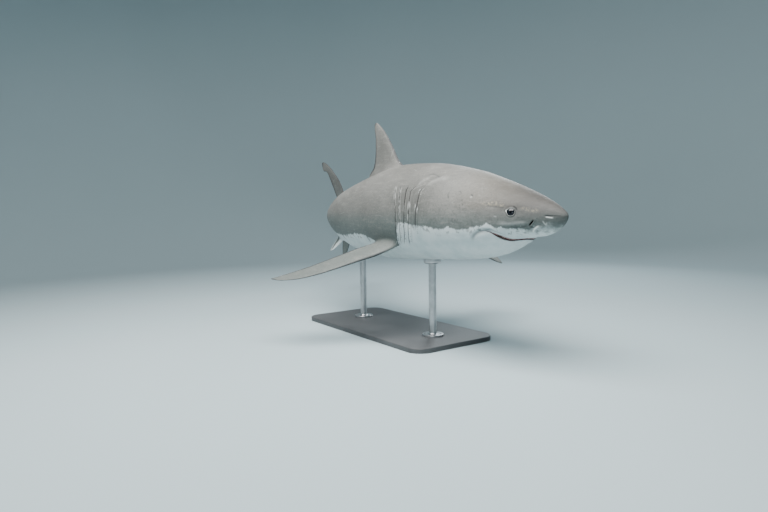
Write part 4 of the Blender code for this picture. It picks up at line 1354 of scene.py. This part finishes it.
class SkinFinish(Finish):
    """The skin's material, coloured over the straight layout, with one method for each layer."""

    def __init__(self, colours):
        super().__init__("shark_skin_finish")
        self.colours = colours
        self.straight = self.place("straight")
        x, _, z = self.parts(self.straight)
        self.s = x * (-1 / PERCENT)
        self.level = z * (1 / PERCENT)
        self.broad = self.noise(self.straight, 2.2, 3.0)
        self.patch = self.noise(self.straight, 8.0, 4.0, 0.6)
        self.grain = self.noise(self.straight, 85.0, 4.0, 0.7)
        self.ragged = self.noise(self.stretched(self.straight, (1.0, 1.0, 0.7)), 26.0, 5.0, 0.65)
        shade = self.attribute("shade")
        soft = 0.14 + self.s.ramp(6.0, 1.5) * 0.75
        rough_edge = shade + (self.ragged - 0.5) * 1.5 + (self.grain - 0.5) * (0.5 + soft)
        self.on_back = (rough_edge / soft).ramp(-1.0, 1.0)
        self.islands = (shade + 0.45).band(0.0, 0.7) * self.ragged.ramp(0.53, 0.58) * 0.6
        line = self.cells(self.stretched(self.straight, (0.5, 1.0, 1.4)), 4.0, "DISTANCE_TO_EDGE")
        thinned = self.noise(self.straight, 7.3, 2.0).ramp(0.6, 0.66)
        self.scratches = line.ramp(0.005, 0.002) * thinned * self.on_back

    def back(self):
        """Mottled grey, browner on the head, greener low on the flank and dark on the snout, partly with
        painted shade.
        """
        colours, s, level, patch, grain = self.colours, self.s, self.level, self.patch, self.grain
        grey = self.mix(self.broad.ramp(0.35, 0.65), colours.back, colours.back_dark)
        head = s.ramp(18.0, 7.0)
        grey = self.mix(head * level.ramp(0.0, 2.0) * (0.5 + patch * 0.6), grey, colours.brow)
        # Painted shade: the underside of the snout's tip darkened with the speck colour.
        tip = s.ramp(2.2, 0.4) * level.ramp(0.5, -0.7) * 0.55
        grey = self.mix(tip, grey, colours.speck_and_tip_shade)
        low = (0.5 + patch * 0.5) * level.ramp(1.6, -1.4)
        grey = self.mix(low * 0.85, grey, colours.flank)
        spots = self.noise(self.straight, 24.0, 5.0, 0.7).ramp(0.5, 0.62)
        grey = self.mix(spots * s.band(14.0, 9.0) * level.band(-0.4, 3.2) * 0.5, grey, colours.speck_and_tip_shade)
        streak = self.noise(self.stretched(self.straight, (1.0, 1.0, 5.0)), 12.0, 4.0, 0.6)
        grey = self.mix(streak.ramp(0.5, 0.72) * 0.22, grey, colours.mottle_light)
        grey = self.mix(patch.ramp(0.55, 0.72) * 0.35, grey, colours.back_dark)
        grey = self.mix(grain.ramp(0.52, 0.75) * 0.32, grey, colours.mottle_light)
        grey = self.mix(grain.ramp(0.46, 0.33) * 0.4, grey, colours.speck_and_tip_shade)
        # Darker over the top of the head towards the snout: partly its own darker colour, partly painted
        # shade.
        dusk = s.ramp(16.0, 3.0) * level.ramp(-2.0, 1.5) * (0.75 + (patch - 0.5) * 0.5)
        grey = self.mix(dusk, grey, colours.snout)
        return self.mix(self.attribute("fleck") * grain.ramp(0.44, 0.62) * 0.6, grey, colours.gold)

    def belly(self):
        """White with cool clouds."""
        white = self.mix(self.patch.ramp(0.35, 0.7) * 0.6, self.colours.belly, self.colours.belly_shade)
        return self.mix(self.grain.ramp(0.55, 0.8) * 0.3, white, self.colours.belly_shade)

    def with_fin_edges(self, colour):
        """Dark edges and tips on the fins, worn pale in places."""
        edge = self.attribute("fin_edge")
        tips = (self.attribute("under") + (self.ragged - 0.5) * 0.5).ramp(0.55, 0.8) * 0.9
        colour = self.mix(tips, colour, self.colours.fin_tip)
        darkened = (edge * (0.7 + self.patch * 0.6)).ramp(0.25, 0.9) * 0.8
        colour = self.mix(darkened, colour, self.colours.fin_tip)
        worn = self.noise(self.straight, 48.0, 3.0).ramp(0.66, 0.74) * (edge - 0.4).clamped()
        return self.mix(worn * 0.6, colour, self.colours.scar_and_highlight)

    def with_specks(self, colour):
        """Pores on the snout, dark specks behind it, and long pale scratches."""
        s, on_back = self.s, self.on_back
        pores = self.cells(self.straight, 70.0).ramp(0.17, 0.08) * s.ramp(11.0, 6.5)
        pores = pores * self.patch.ramp(0.4, 0.56)
        colour = self.mix(pores * (on_back * 0.6 + 0.12), colour, self.colours.speck_and_tip_shade)
        specks = self.cells(self.straight, 17.0).ramp(0.1, 0.05) * on_back
        specks = specks * s.band(15.0, 5.0) * self.level.band(2.4, 2.6)
        colour = self.mix(specks * 0.85, colour, self.colours.speck_and_tip_shade)
        return self.mix(self.scratches * 0.22, colour, self.colours.scar_and_highlight)

    def with_marks(self, colour):
        """Folds and pockets in painted shade, torn gill edges, dots before the gills, and scars and pale
        marks with some painted highlight.
        """
        frayed = self.noise(self.stretched(self.straight, (1.0, 1.0, 0.5)), 40.0, 3.0)
        # Painted shade from the dark layer in folds, slits and round the mouth, eyes and nostrils, with some
        # dark spots.
        colour = self.mix(self.attribute("dark").clamped() * 0.88, colour, self.colours.fold_shade_and_spots)
        torn = self.attribute("gill") * frayed.ramp(0.42, 0.6) * 0.95
        colour = self.mix(torn, colour, self.colours.scar_and_highlight)
        sparse = self.cells(self.straight, 74.0).ramp(0.34, 0.22) * frayed.ramp(0.3, 0.5)
        colour = self.mix(self.attribute("dots") * sparse * 0.9, colour, self.colours.fold_shade_and_spots)
        # Pale rims and marks of the skin, with painted highlight on the raised shoulder folds.
        scars_and_highlights = self.attribute("pale") * (0.6 + self.grain * 0.7)
        colour = self.mix(scars_and_highlights, colour, self.colours.scar_and_highlight)
        # Painted shade: the gill and nostril pockets near-black.
        return self.mix(self.attribute("inner").ramp(0.0, 0.9), colour, self.colours.pocket)

    def with_mouth(self, colour):
        """Blotched gums, darkened into the throat and at the mouth's narrow front with painted shade."""
        mouth = self.attribute("mouth")
        blotch = self.noise(self.straight, 75.0, 3.0, 0.6).ramp(0.44, 0.56)
        gum = self.mix(blotch, self.colours.gum, self.colours.gum_dark)
        # Painted shade: deep in the mouth and at its narrow front the gums turn to the throat colour.
        deep = mouth.ramp(1.0, 1.5).larger(self.s.ramp(7.1, 6.3) * 0.75)
        gum = self.mix(deep, gum, self.colours.throat)
        return self.mix(mouth.ramp(0.15, 0.7), colour, gum)

    def roughness(self):
        """Matt skin, duller in the pockets and wet in the mouth."""
        uneven = (self.patch - 0.5) * 0.2 + (self.grain - 0.5) * 0.2
        return 0.56 + uneven + self.attribute("inner") * 0.4 - self.attribute("mouth").clamped() * 0.36

    def relief(self):
        """Soft swellings, fine creases with scratches, and scales."""
        creased = self.noise(self.stretched(self.straight, (0.6, 1.0, 1.3)), 46.0, 4.0, 0.6)
        scales = self.cells(self.straight, 420.0)
        pitted = self.noise(self.straight, 240.0, 3.0, 0.6)
        normal = self.bump(self.broad * 0.6 + self.patch * 0.5, 0.7, 0.01)
        normal = self.bump(creased - self.scratches * 0.3, 0.5, 0.003, normal)
        return self.bump(scales * 0.6 + pitted * 0.8, 0.4, 0.0007, normal)


def skin_finish(colours):
    """Grey back and white belly with a ragged edge between, fin edges, folds, gums and marks."""
    finish = SkinFinish(colours)
    colour = finish.mix(finish.on_back.larger(finish.islands), finish.belly(), finish.back())
    for layer in (finish.with_fin_edges, finish.with_specks, finish.with_marks, finish.with_mouth):
        colour = layer(colour)
    finish.set(Specular_IOR_Level=0.22)
    return finish.set(Base_Color=colour, Roughness=finish.roughness(), Normal=finish.relief())


def eye_finish(colours):
    """Black eye: a faint deep-blue ring round a black pupil, under a clear wet coat."""
    finish = Finish("eye_finish")
    place = finish.place()
    away = finish.attribute("from_axis")
    fibres = finish.noise(place, 900.0, 3.0, 0.6)
    ring = finish.mix(fibres.ramp(0.35, 0.7), colours.eye, colours.eye_ring)
    colour = finish.mix(away.band(12.5, 5.0), colours.eye, ring)
    colour = finish.mix(away.ramp(18.5, 22.5) * 0.4, colour, colours.eye_ring)
    rough = 0.1 + (fibres - 0.5) * 0.05
    normal = finish.bump(finish.noise(place, 140.0, 2.0), 0.05, 0.0004)
    finish.set(Coat_Weight=0.3, Coat_Roughness=0.03, Coat_IOR=1.35, IOR=1.34)
    return finish.set(Base_Color=colour, Roughness=rough, Normal=normal)


def tooth_finish(colours):
    """Ivory blades with yellow stains and fine upright streaks."""
    finish = Finish("tooth_finish")
    place = finish.place()
    streak = finish.noise(finish.stretched(place, (1.0, 1.0, 0.12)), 900.0, 3.0, 0.6)
    stain = finish.noise(place, 130.0, 3.0)
    colour = finish.mix(streak.ramp(0.3, 0.75) * 0.5, colours.tooth, colours.tooth_stain)
    colour = finish.mix(stain.ramp(0.5, 0.75) * 0.5, colour, colours.tooth_stain)
    rough = 0.28 + stain * 0.14
    return finish.set(Base_Color=colour, Roughness=rough, Normal=finish.bump(streak, 0.15, 0.0002))


def plate_finish(colours):
    """Fine-textured powder coat with lighter clouds and dust."""
    finish = Finish("stand_plate_finish")
    place = finish.place()
    orange_peel = finish.noise(place, 520.0, 2.0, 0.5)
    cloud = finish.noise(place, 3.0, 4.0, 0.6)
    dust = finish.noise(place, 38.0, 5.0, 0.65)
    colour = finish.mix(cloud.ramp(0.3, 0.7), colours.plate, colours.plate_light)
    colour = finish.mix(dust.ramp(0.56, 0.8) * 0.3, colour, colours.plate_light)
    rough = 0.5 + (cloud - 0.5) * 0.2 + (orange_peel - 0.5) * 0.12
    return finish.set(Base_Color=colour, Roughness=rough, Normal=finish.bump(orange_peel, 0.35, 0.0005))


def steel_finish(colours):
    """Turned steel with fine rings round the post and soft smudges."""
    finish = Finish("stand_steel_finish")
    place = finish.place()
    turned = finish.noise(finish.stretched(place, (6.0, 6.0, 900.0)), 1.0, 3.0, 0.7)
    smudge = finish.noise(place, 16.0, 4.0, 0.6)
    colour = finish.mix(smudge.ramp(0.3, 0.75), colours.steel, colours.steel_dark)
    rough = 0.26 + (turned - 0.5) * 0.16 + smudge * 0.12
    finish.set(Metallic=1.0)
    return finish.set(Base_Color=colour, Roughness=rough, Normal=finish.bump(turned, 0.22, 0.0003))


def backdrop_finish(colours):
    """Pale matt studio cove with the faintest cloudiness."""
    finish = Finish("backdrop_finish")
    place = finish.place()
    cloud = finish.noise(place, 0.35, 3.0)
    colour = finish.mix(cloud, colours.backdrop, colours.backdrop_shade)
    return finish.set(Base_Color=colour, Roughness=0.85)


# ---- Add-on -----------------------------------------------------------------------------------

def colour_property(name, description, default):
    return FloatVectorProperty(name=name, description=description, default=default, subtype="COLOR",
                               size=3, min=0.0, max=1.0)


def length_property(name, description, default):
    return FloatProperty(name=name, description=description, default=default, min=0.0, unit="LENGTH")


def power_property(name, description, default):
    return FloatProperty(name=name, description=description, default=default, min=0.0, unit="POWER")


def count_property(name, description, default):
    return IntProperty(name=name, description=description, default=default, min=2)


class SharkSizes(bpy.types.PropertyGroup):
    """Sizes of the shark's teeth."""
    upper_tall: length_property("Upper teeth", "Height of the tallest upper tooth", 0.0145)
    upper_inset: length_property("Upper teeth, inset", "How far they stand behind the lip", 0.0095)
    upper_count: count_property("Upper teeth, count", "Number of upper teeth", 24)
    lower_tall: length_property("Lower teeth", "Height of the tallest lower tooth", 0.013)
    lower_inset: length_property("Lower teeth, inset", "How far they stand behind the lip", 0.0115)
    lower_count: count_property("Lower teeth, count", "Number of lower teeth", 22)


class SharkColours(bpy.types.PropertyGroup):
    """Colours of the shark."""
    back: colour_property("Back", "Grey of the back", (0.165, 0.164, 0.155))
    back_dark: colour_property("Back, dark", "Darker cloud in the grey", (0.115, 0.115, 0.108))
    brow: colour_property("Brow", "Olive brown of the top of the head", (0.15, 0.135, 0.11))
    # Partly the snout's own darker colour, partly painted shade over its top and tip.
    snout: colour_property("Snout", "Top and tip of the snout", (0.045, 0.044, 0.045))
    flank: colour_property("Flank", "Greenish grey low on the flank", (0.115, 0.14, 0.134))
    mottle_light: colour_property("Light mottle", "Pale mottling in the grey", (0.31, 0.305, 0.285))
    # Also used for painted shade under the snout's tip.
    speck_and_tip_shade: colour_property("Specks", "Pores and dark specks", (0.06, 0.065, 0.065))
    gold: colour_property("Flecks", "Straw-coloured flecks at the level of the eye", (0.44, 0.39, 0.26))
    belly: colour_property("Belly", "White of the belly", (0.64, 0.68, 0.68))
    belly_shade: colour_property("Belly, shaded", "Cool cloud in the white", (0.44, 0.52, 0.53))
    fin_tip: colour_property("Fin edges", "Dark edges and tips of the fins", (0.035, 0.038, 0.042))
    # Also used for painted highlight on the raised shoulder folds.
    scar_and_highlight: colour_property("Scars", "Pale rims, scars and gill edges", (0.74, 0.76, 0.74))
    # Painted shade in folds, slits and round the mouth, eyes and nostrils; also the skin's own dark spots
    # and dots.
    fold_shade_and_spots: colour_property("Creases", "Depth of folds", (0.025, 0.03, 0.032))
    # Painted shade: near-black inside the gill slits and nostrils.
    pocket: colour_property("Pockets", "Inside of gill slits and nostrils", (0.012, 0.011, 0.011))
    gum: colour_property("Gum", "Pink of the gum", (0.5, 0.22, 0.22))
    gum_dark: colour_property("Gum, dark", "Red of the gum", (0.11, 0.03, 0.032))
    # Painted shade deep in the mouth and at its narrow front.
    throat: colour_property("Throat", "Depth of the mouth", (0.07, 0.022, 0.022))
    tooth: colour_property("Teeth", "Ivory of the teeth", (0.78, 0.74, 0.64))
    tooth_stain: colour_property("Teeth, stained", "Stain on the teeth", (0.55, 0.47, 0.34))
    eye: colour_property("Eye", "Black of the eye", (0.003, 0.0035, 0.005))
    eye_ring: colour_property("Eye ring", "Faint ring of the iris", (0.012, 0.018, 0.028))


class StandSettings(bpy.types.PropertyGroup):
    """Sizes and colours of the display stand."""
    corner: length_property("Plate corner", "Radius of the plate's corners", 0.11)
    rim: length_property("Plate rim", "Rounding of the plate's rim", 0.006)
    screw_radius: length_property("Screws", "Radius of the foot screws' heads", 0.0062)
    plate: colour_property("Plate", "Powder coat of the plate", (0.05, 0.052, 0.055))
    plate_light: colour_property("Plate, dusty", "Lighter cloud on the plate", (0.075, 0.078, 0.082))
    steel: colour_property("Steel", "Turned steel", (0.58, 0.58, 0.59))
    steel_dark: colour_property("Steel, smudged", "Smudges on the steel", (0.42, 0.42, 0.43))


class StudioSettings(bpy.types.PropertyGroup):
    """Sizes, lights and colours of the studio."""
    cove_radius: length_property("Cove radius", "Radius of the floor", 9.0)
    cove_height: length_property("Cove height", "Height of the wall", 9.0)
    cove_bend: length_property("Cove bend", "Radius of the bend between floor and wall", 3.0)
    backdrop: colour_property("Backdrop", "Pale studio floor and cove", (0.4, 0.49, 0.52))
    backdrop_shade: colour_property("Backdrop, clouded", "Second tone of the cove", (0.37, 0.46, 0.49))
    key_power: power_property("Overhead light", "Power of the overhead light", 660.0)
    fill_power: power_property("Right light", "Power of the light on the shark's right", 45.0)
    left_power: power_property("Left light", "Power of the light on the shark's left", 150.0)
    sky: FloatProperty(name="Surroundings", description="Strength of the surroundings", default=0.19)
    sky_colour: colour_property("Surroundings, colour", "Light from all around", (0.55, 0.82, 0.92))
    lens: FloatProperty(name="Lens", description="Focal length of the camera", default=25.78,
                        subtype="DISTANCE_CAMERA")


class SHARK_OT_skin(bpy.types.Operator):
    """Make the skin over all the shark's flesh"""
    bl_idname = "shark.skin"
    bl_label = "Skin"

    def execute(self, context):
        skin = build_skin()
        flesh = [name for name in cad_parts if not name.startswith(("eye_", "stand_"))]
        dress(skin, "skin", skin_finish(context.scene.shark_colours), nodes=flesh)
        return {"FINISHED"}


class SHARK_OT_teeth(bpy.types.Operator):
    """Make the upper and lower teeth"""
    bl_idname = "shark.teeth"
    bl_label = "Teeth"

    def execute(self, context):
        sizes = context.scene.shark_sizes
        finish = tooth_finish(context.scene.shark_colours)
        upper = teeth_row("teeth_upper", -1, sizes.upper_inset, sizes.upper_tall, sizes.upper_count)
        lower = teeth_row("teeth_lower", 1, sizes.lower_inset, sizes.lower_tall, sizes.lower_count)
        dress(upper, "jaw", finish)
        dress(lower, "jaw", finish)
        return {"FINISHED"}


class SHARK_OT_eyes(bpy.types.Operator):
    """Make the two eyes"""
    bl_idname = "shark.eyes"
    bl_label = "Eyes"

    def execute(self, context):
        finish = eye_finish(context.scene.shark_colours)
        for label, side in (("left", 1), ("right", -1)):
            dress(eyeball("eyeball_" + label, side), "eye", finish, nodes=["eye_" + label])
        return {"FINISHED"}


class SHARK_OT_stand(bpy.types.Operator):
    """Make the display stand: a plate and two turned posts"""
    bl_idname = "shark.stand"
    bl_label = "Display stand"

    def execute(self, context):
        settings = context.scene.shark_stand
        skin = bpy.data.objects.get("shark_skin")
        if skin is None:
            raise RuntimeError("make the skin before the stand, which fits its belly")
        dress(stand_plate(settings), "stand_base", plate_finish(settings), nodes=["stand_base"])
        steel = steel_finish(settings)
        for label in ROD_PLACES:
            post = stand_post(label, skin, settings.screw_radius)
            dress(post, "stand_rod", steel, nodes=["stand_rod_" + label])
        return {"FINISHED"}


class SHARK_OT_studio(bpy.types.Operator):
    """Make the pale floor, the soft lights and the camera"""
    bl_idname = "shark.studio"
    bl_label = "Studio"

    def execute(self, context):
        settings = context.scene.shark_studio
        stage_cove(settings)
        stage_lights(settings)
        stage_camera(settings)
        return {"FINISHED"}


def stage_cove(settings):
    """Round floor that bends up into a wall on every side."""
    radius, bend = settings.cove_radius, settings.cove_bend
    profile = [(0.0, 0.0), (radius - bend, 0.0)]
    steps = 16
    for i in range(1, steps + 1):
        angle = pi / 2 * i / steps
        profile.append((radius - bend + bend * sin(angle), bend * (1 - cos(angle))))
    profile.append((radius, settings.cove_height))
    mesh = bmesh.new()
    spun(mesh, profile, Vector((0, 0, 0)), steps=96)
    bmesh.ops.recalc_face_normals(mesh, faces=mesh.faces[:])
    bmesh.ops.reverse_faces(mesh, faces=mesh.faces[:])
    cove = add_object("studio_cove", mesh)
    cove.data.materials.append(backdrop_finish(settings))


def stage_lights(settings):
    """Broad overhead light, a weak fill on each side and even surroundings."""
    for name, place, aim, size, power, colour in (
            ("overhead", (1.0, -1.5, 4.4), (0.3, 0.0, 0.86), (4.5, 3.0), settings.key_power,
             (1.0, 0.99, 0.965)),
            ("fill_right", (5.2, -4.6, 2.4), (0.6, 0.0, 0.9), (3.0, 2.0), settings.fill_power,
             (0.8, 0.94, 1.0)),
            ("fill_left", (-2.6, 4.8, 3.4), (0.0, 0.0, 0.9), (3.0, 2.0), settings.left_power,
             (0.85, 0.95, 1.0))):
        light = bpy.data.lights.new(name, "AREA")
        light.shape = "RECTANGLE"
        light.size, light.size_y = size
        light.energy = power
        light.color = colour
        item = bpy.data.objects.new(name, light)
        item.location = place
        item.visible_camera = False
        item.rotation_mode = "QUATERNION"
        item.rotation_quaternion = (Vector(aim) - Vector(place)).to_track_quat("-Z", "Y")
        bpy.context.scene.collection.objects.link(item)
    world = bpy.data.worlds.new("surroundings")
    world.use_nodes = True
    background = world.node_tree.nodes["Background"]
    background.inputs["Color"].default_value = (*settings.sky_colour, 1.0)
    background.inputs["Strength"].default_value = settings.sky
    bpy.context.scene.world = world


def stage_camera(settings):
    """Camera in front of the shark's right side, at the height of its body."""
    data = bpy.data.cameras.new("camera")
    data.lens = settings.lens
    data.sensor_width = 36.0
    camera = bpy.data.objects.new("camera", data)
    level = Vector((cos(CAMERA_AZIMUTH), -sin(CAMERA_AZIMUTH), 0))
    back = level * cos(CAMERA_DIP) + Vector((0, 0, sin(CAMERA_DIP)))
    right = (-back).cross(Vector((0, 0, 1))).normalized()
    up = right.cross(-back)
    across = right * cos(CAMERA_ROLL) + up * sin(CAMERA_ROLL)
    upright = up * cos(CAMERA_ROLL) - right * sin(CAMERA_ROLL)
    axes = Matrix((across, upright, back)).transposed().to_4x4()
    camera.matrix_world = Matrix.Translation(CAMERA_PLACE) @ axes
    bpy.context.scene.collection.objects.link(camera)
    bpy.context.scene.camera = camera


class SHARK_PT_looks(bpy.types.Panel):
    """Pieces of the shark model, its sizes and its colours"""
    bl_idname = "SHARK_PT_looks"
    bl_label = "Great White Shark"
    bl_space_type = "VIEW_3D"
    bl_region_type = "UI"
    bl_category = "Shark"

    def draw(self, context):
        column = self.layout.column(align=True)
        for operator in PIECES:
            column.operator(operator.bl_idname)
        for scene_name in GROUPS:
            group = getattr(context.scene, scene_name)
            box = self.layout.box()
            for name in group.__annotations__:
                box.prop(group, name)


PIECES = (SHARK_OT_skin, SHARK_OT_teeth, SHARK_OT_eyes, SHARK_OT_stand, SHARK_OT_studio)
GROUPS = {"shark_sizes": SharkSizes, "shark_colours": SharkColours, "shark_stand": StandSettings,
          "shark_studio": StudioSettings}


def register():
    for kind in (*GROUPS.values(), *PIECES, SHARK_PT_looks):
        bpy.utils.register_class(kind)
    for name, group in GROUPS.items():
        setattr(bpy.types.Scene, name, bpy.props.PointerProperty(type=group))


def unregister():
    for name in GROUPS:
        delattr(bpy.types.Scene, name)
    for kind in reversed((*GROUPS.values(), *PIECES, SHARK_PT_looks)):
        bpy.utils.unregister_class(kind)


def main():
    register()
    bpy.ops.shark.skin()
    bpy.ops.shark.teeth()
    bpy.ops.shark.eyes()
    bpy.ops.shark.stand()
    bpy.ops.shark.studio()


if __name__ == "__main__":
    main()
